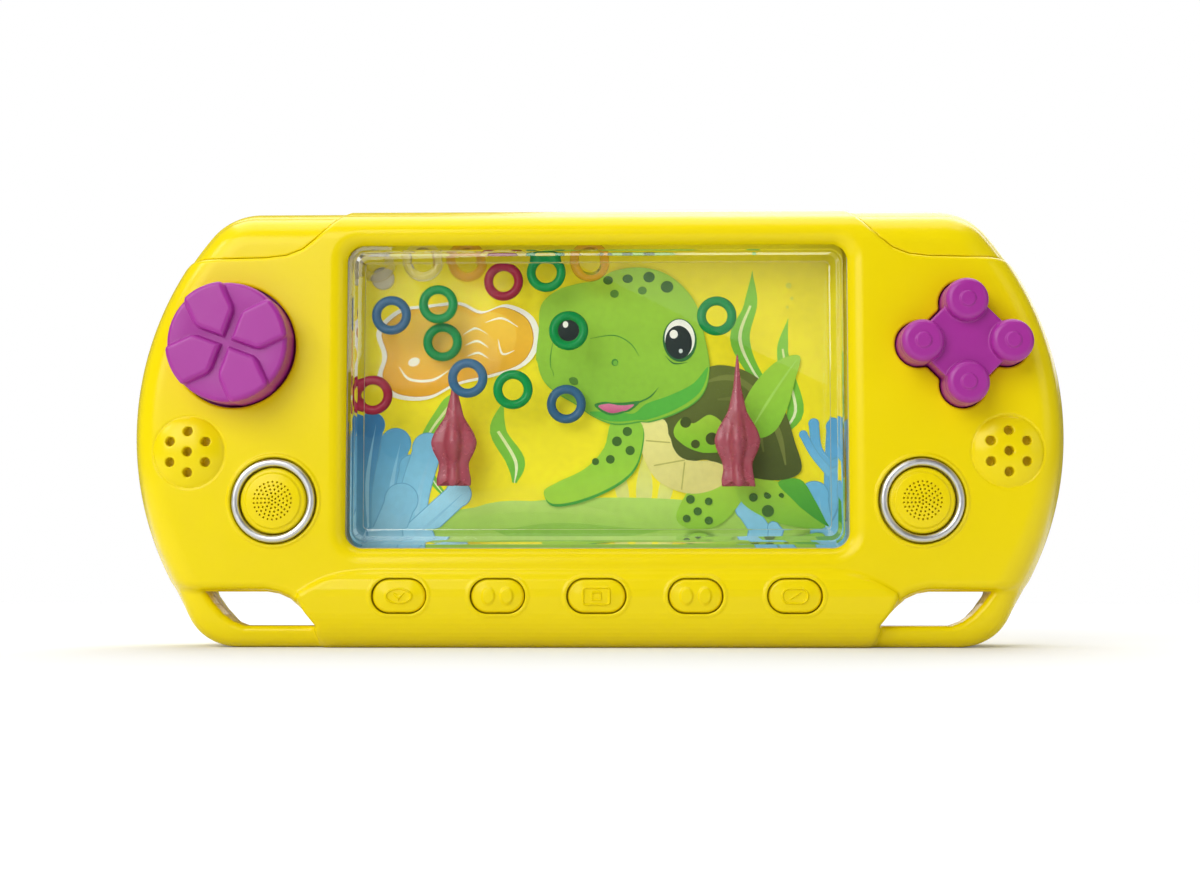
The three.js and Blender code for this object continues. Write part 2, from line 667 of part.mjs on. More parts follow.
// A self-tapping screw with a cross recess, put in from the back.
function screw(x, z) {
  const { head, shank, seatY, tipY } = SCREW;
  const under = seatY + GAP;
  const body = turned(x, z, [
    [0, tipY],
    [shank, tipY + 1.4],
    [shank, under],
    [head, under],
    [head, under + 1],
    [head * 0.6, under + 1.7],
    [0, under + 1.7],
  ], 14);
  const slot = (w, h) => solid(new THREE.BoxGeometry(w, 1.6, h).translate(x, under + 1.9, z));
  return cut(body, slot(2.6, 0.6), slot(0.6, 2.6));
}

// ---- Assembly -----------------------------------------------------------------------------
const toy = new THREE.Group();
function add(name, material, made) {
  const mesh = new THREE.Mesh(geometryOf(made), MATERIALS[material]);
  mesh.name = name;
  toy.add(mesh);
}
const sideName = { "-1": "left", 1: "right" };

add("front_shell", "casing", frontShell());
add("back_shell", "casing", backShell());
sides.forEach((side) => {
  add(`shoulder_cap_${sideName[side]}`, "casing", shoulderCap(side));
  add(`pump_bulb_${sideName[side]}`, "bulb", bulb(side));
  add(`pump_base_${sideName[side]}`, "tank", pumpBase(side));
  add(`jet_hose_${sideName[side]}`, "tank", hose(side));
  add(`thumb_ring_${sideName[side]}`, "plated", thumbRing(side));
  add(`thumb_cap_${sideName[side]}`, "casing", thumbCap(side));
  add(`thumb_spring_${sideName[side]}`, "steel", thumbSpring(side));
});
add("left_button", "button", leftButton());
add("right_button", "button", rightButton());
add("tank_cover", "tank", tankCover());
add("tank_gasket", "seal", tankGasket());
add("tank_body", "tank", tankBody());
add("filler_plug", "seal", fillerPlug());
add("backdrop_card", "card", card());
add("peg_left", "peg", peg(-25.8, 28.2, 22));
add("peg_right", "peg", peg(25.2, 27.9, 24.2));
RINGS.forEach(([name, colour, x, y, z]) => {
  const torus = new THREE.TorusGeometry(RING.radius, RING.wire, 6, 16);
  add(name, colour, solid(torus.rotateX(Math.PI / 2).translate(x, y, z)));
});
keyPlaces.forEach((_, i) => add(`key_${i + 1}`, "casing", key(i)));
add("key_mat", "mat", keyMat());
add("key_backplate", "casing", keyBackplate());
screwPlaces.forEach(([x, z], i) => add(`screw_${i + 1}`, "steel", screw(x, z)));

export default toy;
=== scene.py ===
"""Builds the looks of a handheld water ring-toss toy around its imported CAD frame."""

import itertools
import math

import bmesh
import bpy
import numpy as np
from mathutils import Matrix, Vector
from mathutils.geometry import tessellate_polygon


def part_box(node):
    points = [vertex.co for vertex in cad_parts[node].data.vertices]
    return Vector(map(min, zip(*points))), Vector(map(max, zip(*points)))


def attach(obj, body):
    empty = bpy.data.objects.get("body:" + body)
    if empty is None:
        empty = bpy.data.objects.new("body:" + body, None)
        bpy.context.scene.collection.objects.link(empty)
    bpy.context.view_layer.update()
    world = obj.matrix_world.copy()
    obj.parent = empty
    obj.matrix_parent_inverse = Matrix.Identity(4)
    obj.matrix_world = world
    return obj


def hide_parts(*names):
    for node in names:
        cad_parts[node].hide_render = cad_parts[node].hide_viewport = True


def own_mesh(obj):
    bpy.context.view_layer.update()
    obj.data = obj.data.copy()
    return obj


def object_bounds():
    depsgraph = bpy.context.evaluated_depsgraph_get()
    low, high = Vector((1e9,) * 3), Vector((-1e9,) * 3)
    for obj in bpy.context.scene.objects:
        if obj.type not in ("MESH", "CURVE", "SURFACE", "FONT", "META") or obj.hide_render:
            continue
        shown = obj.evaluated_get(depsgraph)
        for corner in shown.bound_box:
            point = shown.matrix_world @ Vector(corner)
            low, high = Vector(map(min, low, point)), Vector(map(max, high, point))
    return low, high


bl_info = {
    "name": "Water Ring-Toss Toy",
    "version": (1, 0, 0),
    "blender": (4, 5, 0),
    "location": "3D View > Sidebar > Ring Toss",
    "description": "Builds a handheld water ring-toss toy, piece by piece, around its CAD frame",
    "category": "Object",
}

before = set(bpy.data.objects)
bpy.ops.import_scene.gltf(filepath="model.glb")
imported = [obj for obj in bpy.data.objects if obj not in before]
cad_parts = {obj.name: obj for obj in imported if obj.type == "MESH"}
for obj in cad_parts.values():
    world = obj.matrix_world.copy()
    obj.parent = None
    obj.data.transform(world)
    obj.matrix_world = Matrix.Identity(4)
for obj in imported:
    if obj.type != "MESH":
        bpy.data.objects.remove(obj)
cad_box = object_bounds()

MM = 0.001
SIDES = {"left": -1, "right": 1}


# ---- Distances ---------------------------------------------------------------------------------
# Each gives how far a point is outside a shape, in millimetres, and is negative inside it.


def both(a, b, edge=0.0):
    """What is inside a and b, with its sharp edge rounded to that radius."""
    outside = np.hypot(np.maximum(edge + a, 0), np.maximum(edge + b, 0))
    return np.minimum(-edge, np.maximum(a, b)) + outside


def without(a, b, edge=0.0):
    """What is inside a and outside b."""
    return both(a, -b, edge)


def either(a, b, fillet=0.0):
    """What is inside a or b, with their inner corner filled to that radius."""
    return -both(-a, -b, fillet)


def disc(x, z, centre, radius):
    return np.hypot(x - centre[0], z - centre[1]) - radius


def plate(x, z, centre, size, radius):
    """A rectangle with rounded corners."""
    across = np.abs(x - centre[0]) - size[0] / 2 + radius
    along = np.abs(z - centre[1]) - size[1] / 2 + radius
    corner = np.hypot(np.maximum(across, 0), np.maximum(along, 0))
    return corner + np.minimum(np.maximum(across, along), 0) - radius


def polygon(x, z, points):
    x, z = np.broadcast_arrays(x, z)
    nearest = np.full(x.shape, 1e9, np.float32)
    inside = np.zeros(x.shape, bool)
    for (ax, az), (bx, bz) in zip(points, points[1:] + points[:1]):
        ex, ez = bx - ax, bz - az
        along = np.clip(((x - ax) * ex + (z - az) * ez) / (ex * ex + ez * ez), 0, 1)
        reach = (x - ax - ex * along) ** 2 + (z - az - ez * along) ** 2
        nearest = np.minimum(nearest, reach)
        if az != bz:
            inside ^= ((az > z) != (bz > z)) & (x < ax + ex * (z - az) / ez)
    return np.where(inside, -1, 1) * np.sqrt(nearest)


def ramp(value, start, end):
    """0 at start, 1 at end, and smooth between."""
    share = np.clip((value - start) / (end - start), 0, 1)
    return share * share * (3 - 2 * share)


def between(a, b, c, d, t):
    """The point at share t from b to c, on a smooth line through four points."""
    bend = (a - 2.5 * b + 2 * c - d / 2) * t**2
    return b + (c - a) * t / 2 + bend + (1.5 * (b - c) + (d - a) / 2) * t**3


def curve_through(points):
    """A closed smooth line through points, as a list of five times as many."""
    p = np.array(points, float)
    corners = list(zip(np.roll(p, 1, 0), p, np.roll(p, -1, 0), np.roll(p, -2, 0)))
    return [tuple(between(*four, t)) for four, t in itertools.product(corners, np.arange(5) / 5)]


# ---- Meshes ------------------------------------------------------------------------------------


def make_object(name, points, faces, material):
    """A smooth-shaded mesh object. The points are in millimetres."""
    mesh = bpy.data.meshes.new(name)
    mesh.from_pydata([tuple(p) for p in np.asarray(points, float) * MM], [], faces)
    mesh.shade_smooth()
    return add_object(name, mesh, material)


def add_object(name, mesh, material):
    obj = bpy.data.objects.new(name, mesh)
    bpy.context.scene.collection.objects.link(obj)
    if material:
        mesh.materials.append(material)
    return obj


def nets(shape, low, high, step):
    """Points and quads on the surface of a shape, with one point in each cell of a fine grid that
    the surface crosses."""
    axes = [np.arange(a, b + step, step, dtype=np.float32) for a, b in zip(low, high)]
    field = shape(
        axes[0][:, None, None], axes[1][None, :, None], axes[2][None, None, :]
    ).astype(np.float32)
    inside = field < 0
    cells = np.array(field.shape) - 1
    corners = list(itertools.product((0, 1), repeat=3))
    count = np.zeros(cells, np.int8)
    for i, j, k in corners:
        count += inside[i : i + cells[0], j : j + cells[1], k : k + cells[2]]
    crossed = np.argwhere((count > 0) & (count < 8))
    ids = np.full(cells, -1, np.int32)
    ids[tuple(crossed.T)] = np.arange(len(crossed))
    value = {c: field[tuple((crossed + c).T)] for c in corners}
    total, crossings = np.zeros((len(crossed), 3)), np.zeros((len(crossed), 1))
    for c, axis in itertools.product(corners, range(3)):
        if c[axis]:
            continue
        start, end = value[c], value[tuple(np.add(c, np.eye(3, dtype=int)[axis]))]
        cuts = (start < 0) != (end < 0)
        point = np.tile(np.array(c, float), (len(crossed), 1))
        point[:, axis] = start / np.where(cuts, start - end, 1)
        total[cuts] += point[cuts]
        crossings[cuts] += 1
    points = (crossed + total / crossings) * step + np.array(low)
    quads = []
    for axis in range(3):
        u, v = np.eye(3, dtype=int)[(axis + 1) % 3], np.eye(3, dtype=int)[(axis + 2) % 3]
        here = np.take(inside, range(cells[axis]), axis)
        there = np.take(inside, range(1, cells[axis] + 1), axis)
        edges = np.argwhere(here != there)
        whole = (edges @ u > 0) & (edges @ v > 0) & (
            edges @ u < cells @ u
        ) & (edges @ v < cells @ v)
        edges = edges[whole]
        ring = np.stack([ids[tuple((edges - o).T)] for o in (u + v, v, 0 * u, u)], axis=1)
        outward = here[tuple(edges.T)]
        quads.append(np.where(outward[:, None], ring, ring[:, ::-1]))
    return points, np.concatenate(quads)


def moulded(name, shape, low, high, step, material, share):
    """The surface of a shape as an object, thinned to a share of its faces. Its points and normals
    are taken from the shape itself, and no point leaves the CAD box."""
    points, quads = nets(shape, low, high, step)
    mesh = bpy.data.meshes.new(name)
    mesh.vertices.add(len(points))
    mesh.vertices.foreach_set("co", points.astype(np.float32).ravel())
    mesh.loops.add(quads.size)
    mesh.loops.foreach_set("vertex_index", quads.astype(np.int32).ravel())
    mesh.polygons.add(len(quads))
    mesh.polygons.foreach_set("loop_start", np.arange(0, quads.size, 4, dtype=np.int32))
    mesh.update(calc_edges=True)
    obj = add_object(name, mesh, None)
    thin = obj.modifiers.new("Thin", "DECIMATE")
    thin.ratio = share
    scene = bpy.context.evaluated_depsgraph_get()
    mesh = bpy.data.meshes.new_from_object(obj.evaluated_get(scene))
    obj.modifiers.clear()
    obj.data = mesh
    at = np.empty(len(mesh.vertices) * 3, np.float32)
    mesh.vertices.foreach_get("co", at)
    at = at.reshape(-1, 3)

    def slope(p, reach):
        axes = np.eye(3, dtype=np.float32) * np.float32(reach)
        steep = np.stack([shape(*(p + a).T) - shape(*(p - a).T) for a in axes], axis=1)
        return steep / np.maximum(np.linalg.norm(steep, axis=1, keepdims=True), 1e-9)

    # A short reach finds the way to the surface, and a longer one gives a calm normal.
    at = at - np.clip(shape(*at.T), -step / 2, step / 2)[:, None] * slope(at, 0.25 * step)
    normal = slope(at, 0.4 * step)
    mesh.vertices.foreach_set("co", np.clip(at * MM, *np.array(cad_box)).astype(np.float32).ravel())
    mesh.update()
    mesh.shade_smooth()
    mesh.normals_split_custom_set_from_vertices([tuple(n) for n in normal])
    mesh.materials.clear()
    mesh.materials.append(material)
    return obj


def lofted(name, loops, material):
    """A skin through closed loops with the same number of points, with both ends closed."""
    count = len(loops[0])
    faces = []
    for ring, i in itertools.product(range(len(loops) - 1), range(count)):
        a, b = ring * count + i, ring * count + (i + 1) % count
        faces.append((a, a + count, b + count, b))
    last = (len(loops) - 1) * count
    faces += [tuple(range(count)), tuple(reversed(range(last, last + count)))]
    return make_object(name, [p for loop in loops for p in loop], faces, material)


def welded(obj):
    """The piece with points that meet joined and its faces turned outwards."""
    work = bmesh.new()
    work.from_mesh(obj.data)
    bmesh.ops.remove_doubles(work, verts=work.verts, dist=1e-6)
    bmesh.ops.recalc_face_normals(work, faces=work.faces)
    work.to_mesh(obj.data)
    work.free()
    obj.data.shade_smooth()
    return obj


def turned(name, centre, profile, material, sides):
    """A piece turned about a line along Y through centre, from an outline of (radius, y)."""
    angles = np.arange(sides) * 2 * math.pi / sides
    points, faces = [], []
    for radius, y in profile:
        for a in angles:
            points.append((centre[0] + radius * math.cos(a), y, centre[1] + radius * math.sin(a)))
    for row, i in itertools.product(range(len(profile) - 1), range(sides)):
        a, b = row * sides + i, row * sides + (i + 1) % sides
        faces.append((a, b, b + sides, a + sides))
    return welded(make_object(name, points, faces, material))


def coiled(name, centre, radius, wire, turns, front, back, material):
    """A spring of round wire that winds along Y."""
    steps_per_turn, wire_sides = 28, 10
    loops = []
    for share in np.linspace(0, 1, turns * steps_per_turn + 1):
        turn = share * turns * 2 * math.pi
        along = front + wire + (back - front - 2 * wire) * share
        loop = []
        for angle in np.arange(wire_sides) * 2 * math.pi / wire_sides:
            reach = radius + wire * math.cos(angle)
            x, z = centre[0] + reach * math.cos(turn), centre[1] + reach * math.sin(turn)
            loop.append((x, along + wire * math.sin(angle), z))
        loops.append(loop)
    return welded(lofted(name, loops, material))


def sharpen(obj, degrees):
    """Shades faces smooth, with a crease where they meet at more than the angle."""
    mesh = obj.data
    mesh.shade_smooth()
    mesh.set_sharp_from_angle(angle=math.radians(degrees))
    return obj


def fit_to_toy(obj, body, slot, *nodes):
    """Puts a finished piece on its CAD body, in place of CAD nodes. Its slot is not used."""
    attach(obj, body)
    if nodes:
        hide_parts(*nodes)


def flatten(obj):
    """Gives a soft piece its own copy of its mesh."""
    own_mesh(obj)


# ---- Materials ---------------------------------------------------------------------------------


def linear(hex_colour):
    """An sRGB hex colour as linear red, green, blue and alpha."""
    parts = [int(hex_colour[i : i + 2], 16) / 255 for i in (1, 3, 5)]
    return (*(c / 12.92 if c <= 0.04045 else ((c + 0.055) / 1.055) ** 2.4 for c in parts), 1.0)


def add(tree, kind, settings=(), **links):
    """Adds a shader node with its settings, which name its sockets or properties, and with links
    from other nodes' outputs. A link's name gives its socket, by name or as _0, _1 and so on."""
    node = tree.nodes.new("ShaderNode" + kind)
    for key, value in dict(settings).items():
        if isinstance(key, int) or key in node.inputs:
            node.inputs[key].default_value = value
        else:
            setattr(node, key, value)
    for key, source in links.items():
        tree.links.new(
            source, node.inputs[int(key[1:]) if key[0] == "_" else key.replace("_", " ")]
        )
    return node


def lumps(size, detail):
    """Noise settings for lumps of a size in millimetres."""
    return {"Scale": 1 / (size * MM), "Detail": detail}


def spread(low, high):
    """Map Range settings that stretch noise, which mostly lies in 0.3 to 0.7, over low to high."""
    return {"From Min": 0.3, "From Max": 0.7, "To Min": low, "To Max": high}


def new_material(name):
    material = bpy.data.materials.new(name)
    material.use_nodes = True
    tree = material.node_tree
    tree.nodes.clear()
    return material, tree


def finish_material(tree, settings, **links):
    shader = add(tree, "BsdfPrincipled", settings, **links)
    add(tree, "OutputMaterial", Surface=shader.outputs[0])


def moulded_plastic(name, low, high, roughness, grain, height, **settings):
    """Moulded plastic: an even colour that drifts a little, a skin with a fine grain of the given
    width and height in millimetres, and long soft ripples in its gloss."""
    material, tree = new_material(name)
    place = add(tree, "TexCoord").outputs["Object"]
    drift = add(tree, "TexNoise", lumps(14.0, 3.0), Vector=place).outputs[0]
    colour = add(tree, "Mix", {"data_type": "RGBA", 6: low, 7: high}, _0=drift).outputs[2]
    gloss = add(tree, "TexNoise", lumps(3.0, 3.0), Vector=place).outputs[0]
    rough = spread(roughness * 0.88, roughness * 1.12)
    rough = add(tree, "MapRange", rough, Value=gloss).outputs[0]
    skin = add(tree, "TexNoise", lumps(grain, 2.0), Vector=place).outputs[0]
    fine = add(tree, "Bump", {"Strength": 0.5, "Distance": height * MM}, Height=skin).outputs[0]
    flow = add(tree, "TexNoise", lumps(9.0, 0.0), Vector=place).outputs[0]
    ripple = {"Strength": 0.6, "Distance": 0.012 * MM}
    ripple = add(tree, "Bump", ripple, Height=flow, Normal=fine).outputs[0]
    finish_material(tree, settings, Base_Color=colour, Roughness=rough, Normal=ripple)
    return material


def clear_plastic(name, tint, roughness, ior, mirror=0.3):
    """Clear moulded plastic. It bends and mirrors what is seen in it, and lets soft light through
    to what is behind. mirror sets how strongly it reflects."""
    material, tree = new_material(name)
    place = add(tree, "TexCoord").outputs["Object"]
    smear = add(tree, "TexNoise", lumps(5.0, 3.0), Vector=place).outputs[0]
    rough = spread(roughness * 0.5, roughness * 1.5)
    rough = add(tree, "MapRange", rough, Value=smear).outputs[0]
    flow = add(tree, "TexNoise", lumps(12.0, 1.0), Vector=place).outputs[0]
    bump = add(tree, "Bump", {"Strength": 0.5, "Distance": 0.01 * MM}, Height=flow).outputs[0]
    settings = {
        "Base Color": tint, "Transmission Weight": 1.0, "IOR": ior, "Specular IOR Level": mirror
    }
    shader = add(tree, "BsdfPrincipled", settings, Roughness=rough, Normal=bump)
    clear = add(tree, "BsdfTransparent", {"Color": tint})
    rays = add(tree, "LightPath").outputs
    soft = {"_0": rays["Is Shadow Ray"], "_1": rays["Is Diffuse Ray"]}
    share = add(tree, "Math", {"operation": "MAXIMUM"}, **soft).outputs[0]
    mix = add(tree, "MixShader", _0=share, _1=shader.outputs[0], _2=clear.outputs[0])
    add(tree, "OutputMaterial", Surface=mix.outputs[0])
    return material


def tinted_plastic(name, low, high, roughness, clearness):
    """Tinted plastic that lets a share of the light through, blurred: streaky inside, and bright
    where it is thin."""
    material, tree = new_material(name)
    place = add(tree, "TexCoord").outputs["Object"]
    upright = add(tree, "Mapping", {"Scale": (1.0, 1.0, 0.25)}, Vector=place).outputs[0]
    streak = add(tree, "TexNoise", lumps(1.6, 3.0), Vector=upright).outputs[0]
    colour = add(tree, "Mix", {"data_type": "RGBA", 6: low, 7: high}, _0=streak).outputs[2]
    gloss = add(tree, "TexNoise", lumps(2.0, 3.0), Vector=place).outputs[0]
    rough = spread(roughness * 0.7, roughness * 1.3)
    rough = add(tree, "MapRange", rough, Value=gloss).outputs[0]
    bump = add(tree, "Bump", {"Strength": 0.5, "Distance": 0.02 * MM}, Height=streak).outputs[0]
    settings = {"Transmission Weight": clearness, "IOR": 1.49}
    shader = add(tree, "BsdfPrincipled", settings, Base_Color=colour, Roughness=rough, Normal=bump)
    clear = add(tree, "BsdfTransparent", {"Color": high})
    rays = add(tree, "LightPath").outputs
    share = {"operation": "MULTIPLY", 1: clearness}
    share = add(tree, "Math", share, _0=rays["Is Shadow Ray"]).outputs[0]
    mix = add(tree, "MixShader", _0=share, _1=shader.outputs[0], _2=clear.outputs[0])
    add(tree, "OutputMaterial", Surface=mix.outputs[0])
    return material


def plated_metal(name, low, high, roughness, grain, height):
    """A metal skin: a fine spangle in its colour and gloss over fine marks from its making."""
    material, tree = new_material(name)
    place = add(tree, "TexCoord").outputs["Object"]
    spangle = add(tree, "TexNoise", lumps(grain, 3.0), Vector=place).outputs[0]
    colour = add(tree, "Mix", {"data_type": "RGBA", 6: low, 7: high}, _0=spangle).outputs[2]
    rough = spread(roughness * 0.8, roughness * 1.2)
    rough = add(tree, "MapRange", rough, Value=spangle).outputs[0]
    marks = add(tree, "TexNoise", lumps(0.5 * grain, 2.0), Vector=place).outputs[0]
    bump = add(tree, "Bump", {"Strength": 0.4, "Distance": height * MM}, Height=marks).outputs[0]
    finish_material(tree, {"Metallic": 1.0}, Base_Color=colour, Roughness=rough, Normal=bump)
    return material


def printed_card():
    """Coated card, offset printed: flat inks, which the mesh holds, with a faint mottle and a low
    sheen. A faint painted glow in the inks' own colours makes it a little brighter than the lamps
    light it."""
    material, tree = new_material("coated card, offset printed, with painted glow")
    place = add(tree, "TexCoord").outputs["Object"]
    ink = add(tree, "VertexColor", {"layer_name": "ink"}).outputs["Color"]
    speck = add(tree, "TexNoise", lumps(1.2, 4.0), Vector=place).outputs[0]
    mottle = add(tree, "MapRange", spread(0.95, 1.03), Value=speck).outputs[0]
    wash = add(tree, "TexNoise", lumps(9.0, 2.0), Vector=place).outputs[0]
    wash = add(tree, "MapRange", spread(0.95, 1.03), Value=wash).outputs[0]
    amount = add(tree, "Math", {"operation": "MULTIPLY"}, _0=mottle, _1=wash).outputs[0]
    shade = add(tree, "VectorMath", {"operation": "SCALE"}, _0=ink, Scale=amount).outputs[0]
    rough = add(tree, "MapRange", spread(0.45, 0.6), Value=speck).outputs[0]
    # A faint painted glow: the inks shine in their own colours, though the card is no lamp.
    glow = {"IOR": 1.3, "Emission Strength": 0.16}
    finish_material(tree, glow, Base_Color=shade, Roughness=rough, Emission_Color=shade)
    return material


def white_laminate():
    """Matt white laminate under studio light. A faint glow, seen straight on and lighting nothing,
    brings it up to the white backdrop."""
    material, tree = new_material("matt white laminate")
    place = add(tree, "TexCoord").outputs["Object"]
    cloud = add(tree, "TexNoise", lumps(60.0, 3.0), Vector=place).outputs[0]
    tones = {"data_type": "RGBA", 6: linear("#E6E6E5"), 7: linear("#E9E9E9")}
    colour = add(tree, "Mix", tones, _0=cloud).outputs[2]
    matt = add(tree, "BsdfDiffuse", Color=colour)
    rays = add(tree, "LightPath").outputs["Is Camera Ray"]
    glow = add(tree, "Math", {"operation": "MULTIPLY", 1: FLOOR_GLOW}, _0=rays).outputs[0]
    glow = add(tree, "Emission", Strength=glow)
    whole = add(tree, "AddShader", _0=matt.outputs[0], _1=glow.outputs[0])
    add(tree, "OutputMaterial", Surface=whole.outputs[0])
    return material


def ring_plastic(colour, shade, tone):
    name = f"polypropylene, moulded {colour}"
    return moulded_plastic(name, linear(shade), tone, 0.13, 0.5, 0.004, **LOW_GLOSS)


# A gloss that mirrors less than plain plastic does, which keeps deep colours deep.
LOW_GLOSS = {"IOR": 1.5, "Specular IOR Level": 0.27}

CLEAR = linear("#FEFFFE")

# Each material starts from a name, then its colours, roughness, and grain in millimetres.
FINISHES = {
    # Gloss ABS from a polished mould: deep colour, sharp highlights and faint orange peel.
    "casing": lambda c: moulded_plastic(
        "ABS, moulded and polished", c.casing_shade, c.casing, 0.24, 0.7, 0.003, **LOW_GLOSS
    ),
    # Polyethylene from an eroded mould: waxy, with a fine satin grain that spreads its highlights.
    "button": lambda c: moulded_plastic(
        "polyethylene, moulded satin", c.button_shade, c.button, 0.36, 0.35, 0.01
    ),
    # The same ABS with no polish, for pieces inside: duller, with softer highlights.
    "inside": lambda c: moulded_plastic("ABS, moulded", c.casing_shade, c.casing, 0.4, 0.5, 0.008),
    # Polystyrene moulded clear: a mirror sheen over whatever lies behind.
    "clear": lambda c: clear_plastic("polystyrene, moulded clear", CLEAR, 0.01, 1.5),
    # The same where it meets the tank's water, which hides most of its sheen. Its IOR is the
    # plastic's over the water's.
    "wetted": lambda c: clear_plastic("polystyrene, moulded clear and wetted", CLEAR, 0.01, 1.14),
    # The cover's polished bevels, where light turned back inside the plastic makes bright lines.
    "bevel": lambda c: clear_plastic("polystyrene, polished bevel", CLEAR, 0.02, 2.0, mirror=1.0),
    # Soft PVC: cream, dull and slightly uneven.
    "seal": lambda c: moulded_plastic(
        "soft PVC, moulded", linear("#DDD3B2"), linear("#EBE2C6"), 0.55, 0.8, 0.02
    ),
    # Silicone rubber: grey-white with a dry, even sheen.
    "rubber": lambda c: moulded_plastic(
        "silicone rubber, moulded", linear("#CFCABD"), linear("#DDD9CE"), 0.62, 0.6, 0.02
    ),
    # ABS with a satin silver skin plated on in vacuum: bright, with a soft edge to what it mirrors.
    "plated": lambda c: plated_metal(
        "ABS, vacuum plated satin", linear("#D2D3D5"), linear("#DFE0E1"), 0.36, 1.2, 0.006
    ),
    # Zinc-plated steel: grey and a little cloudy.
    "steel": lambda c: plated_metal(
        "steel, zinc plated", linear("#A9ABAC"), linear("#C3C5C6"), 0.34, 0.8, 0.01
    ),
    # Printed card, whose inks carry a faint painted glow.
    "card": lambda c: printed_card(),
    # Tinted polystyrene, part see-through, so that the pegs glow where they are thin.
    "peg": lambda c: tinted_plastic(
        "polystyrene, moulded tinted", c.peg_shade, c.peg, 0.25, clearness=0.3
    ),
    # Coloured polypropylene rings, dense and glossy.
    "ring_green": lambda c: ring_plastic("green", "#037A3C", c.green_ring),
    "ring_blue": lambda c: ring_plastic("blue", "#2E5C80", c.blue_ring),
    "ring_red": lambda c: ring_plastic("red", "#8A1830", c.red_ring),
    # Uncoloured and amber rings that nearly vanish in water.
    "ring_amber": lambda c: tinted_plastic(
        "polypropylene, moulded amber", linear("#F6C23C"), c.amber_ring, 0.12, clearness=0.94
    ),
    "ring_clear": lambda c: tinted_plastic(
        "polypropylene, moulded natural", linear("#F3EED8"), c.clear_ring, 0.1, clearness=0.96
    ),
}
made_finishes = {}


def finish(key):
    """The material for a finish, made the first time that it is asked for."""
    if key not in made_finishes:
        made_finishes[key] = FINISHES[key](bpy.context.scene.toy_colours)
    return made_finishes[key]


# ---- Outlines of the casing, in millimetres ----------------------------------------------------

FACE_Y, TUBE_Y, PARTING_Y, BACK_Y = -8.0, -5.7, 4.0, 15.0
WALL = 2.0
WINDOW_CENTRE, WINDOW_SIZE = (0.0, 44.4), (88.0, 53.1)
CHAMBER_CENTRE, CHAMBER_SIZE = (0.0, 45.45), (89.0, 55.7)
LEFT_BUTTON, RIGHT_BUTTON = (-64.2, 53.2), (64.2, 53.2)
THUMB, DOME = (56.85, 25.8), (71.9, 34.4)
KEY_Z, KEY_PITCH = 9.15, 17.25

# The flange that keeps a button, cap or key behind the front wall, and where its skirt ends.
FLANGE_Y, FLANGE_HALF, SKIRT_Y = -5.2, 0.45, -4.75
# How far the middles of the right-hand button's pads lie from its own, across and up.
PAD_X, PAD_Z = 7.7, 7.2

# The panel is the raised part of the front. It stops above the strap eyes.
PANEL = [
    (-9, -4), (48.0, -4), (49.5, 2.5), (51.6, 6.5), (54.4, 9.0), (58.0, 10.0), (95, 10.0), (95, 95),
    (-9, 95)
]
# The region of each shoulder cap, above an S-shaped seam.
SHOULDER = [
    (95, 95), (45.4, 95), (45.6, 78.6), (46.6, 76.4), (48.2, 74.4), (50.2, 72.3), (52.4, 70.6),
    (55.2, 69.5)
]
SHOULDER += [(58.6, 69.1), (66, 68.9), (95, 68.8)]
# The raised rail under the window, seen from the front and from the side as (y, z).
RAIL = [
    (-9, -4), (-9, 14.4), (39, 14.4), (42, 14.1), (45, 13.4), (47.8, 12.3), (50.3, 11.0),
    (52.3, 9.7)
]
RAIL += [(52.6, 8.8), (51.4, 6.2), (49.6, 3.6), (48, -4)]
RAIL_PROFILE = [
    (2, 13.2), (-6.3, 13.2), (-7.3, 12.7), (-7.9, 11.6), (-8.12, 10.2), (-8.15, 9.0), (-8.08, 7.9)
]
RAIL_PROFILE += [
    (-2.6 - 5.4 * math.cos(t), 7.0 - 5.9 * math.sin(t)) for t in np.linspace(0, math.pi / 2, 13)
] + [(2, 1.1)]
STRAP_EYE = [
    (49.5, 3.85), (62.2, 3.85), (64.2, 4.6), (65.9, 5.8), (67.8, 7.8), (69.3, 9.85), (58.3, 9.85)
]
STRAP_EYE += [(56.2, 9.5), (54.2, 8.6), (52.4, 7.0)]


def casing_outline(x, z):
    """The casing seen from the front: flat above and below, with a large arc at each end and
    filleted corners."""
    x = np.abs(x)
    low = z < 39.5
    corner_x, corner_z = np.where(low, 63.44, 61.57), np.where(low, 12.0, 67.0)
    flank = np.hypot(np.maximum(x - 27.3, 0), z - 38.3) - 44.7
    level = np.abs(z - 39.5) - 27.5
    steeper = np.abs(z - 38.3) * (corner_x - 27.3) > (x - 27.3) * np.abs(corner_z - 38.3)
    at_corner = (x > corner_x) & steeper & (level > 0)
    return np.where(
        at_corner, np.hypot(x - corner_x, z - corner_z), np.maximum(flank, level)
    ) - 12.0


def drafted_outline(x, y, z):
    """The outline at depth y: the sides and the top lean in from the parting line to the face."""
    draft, start, depth = 1.8, 3.6, 6.6
    lean = np.clip((start - y) / depth, 0, 1) ** 1.5
    return casing_outline(x, z) + draft * lean * ramp(z, 0, 13)


def four_rounds(x, z, radius):
    """Four discs in the places of the right-hand button's pads, about its middle."""
    return np.minimum(
        disc(np.abs(x), z, (PAD_X, 0), radius), disc(x, np.abs(z), (0, PAD_Z), radius)
    )


def four_pads(x, z, radius, half):
    """The right-hand button from the front: four round pads, and a square set on its corner."""
    x, z = x - RIGHT_BUTTON[0], z - RIGHT_BUTTON[1]
    return four_rounds(x, z, radius), (np.abs(x) + np.abs(z) - half) / math.sqrt(2)


def flange_depth(y):
    return np.abs(y - FLANGE_Y) - FLANGE_HALF


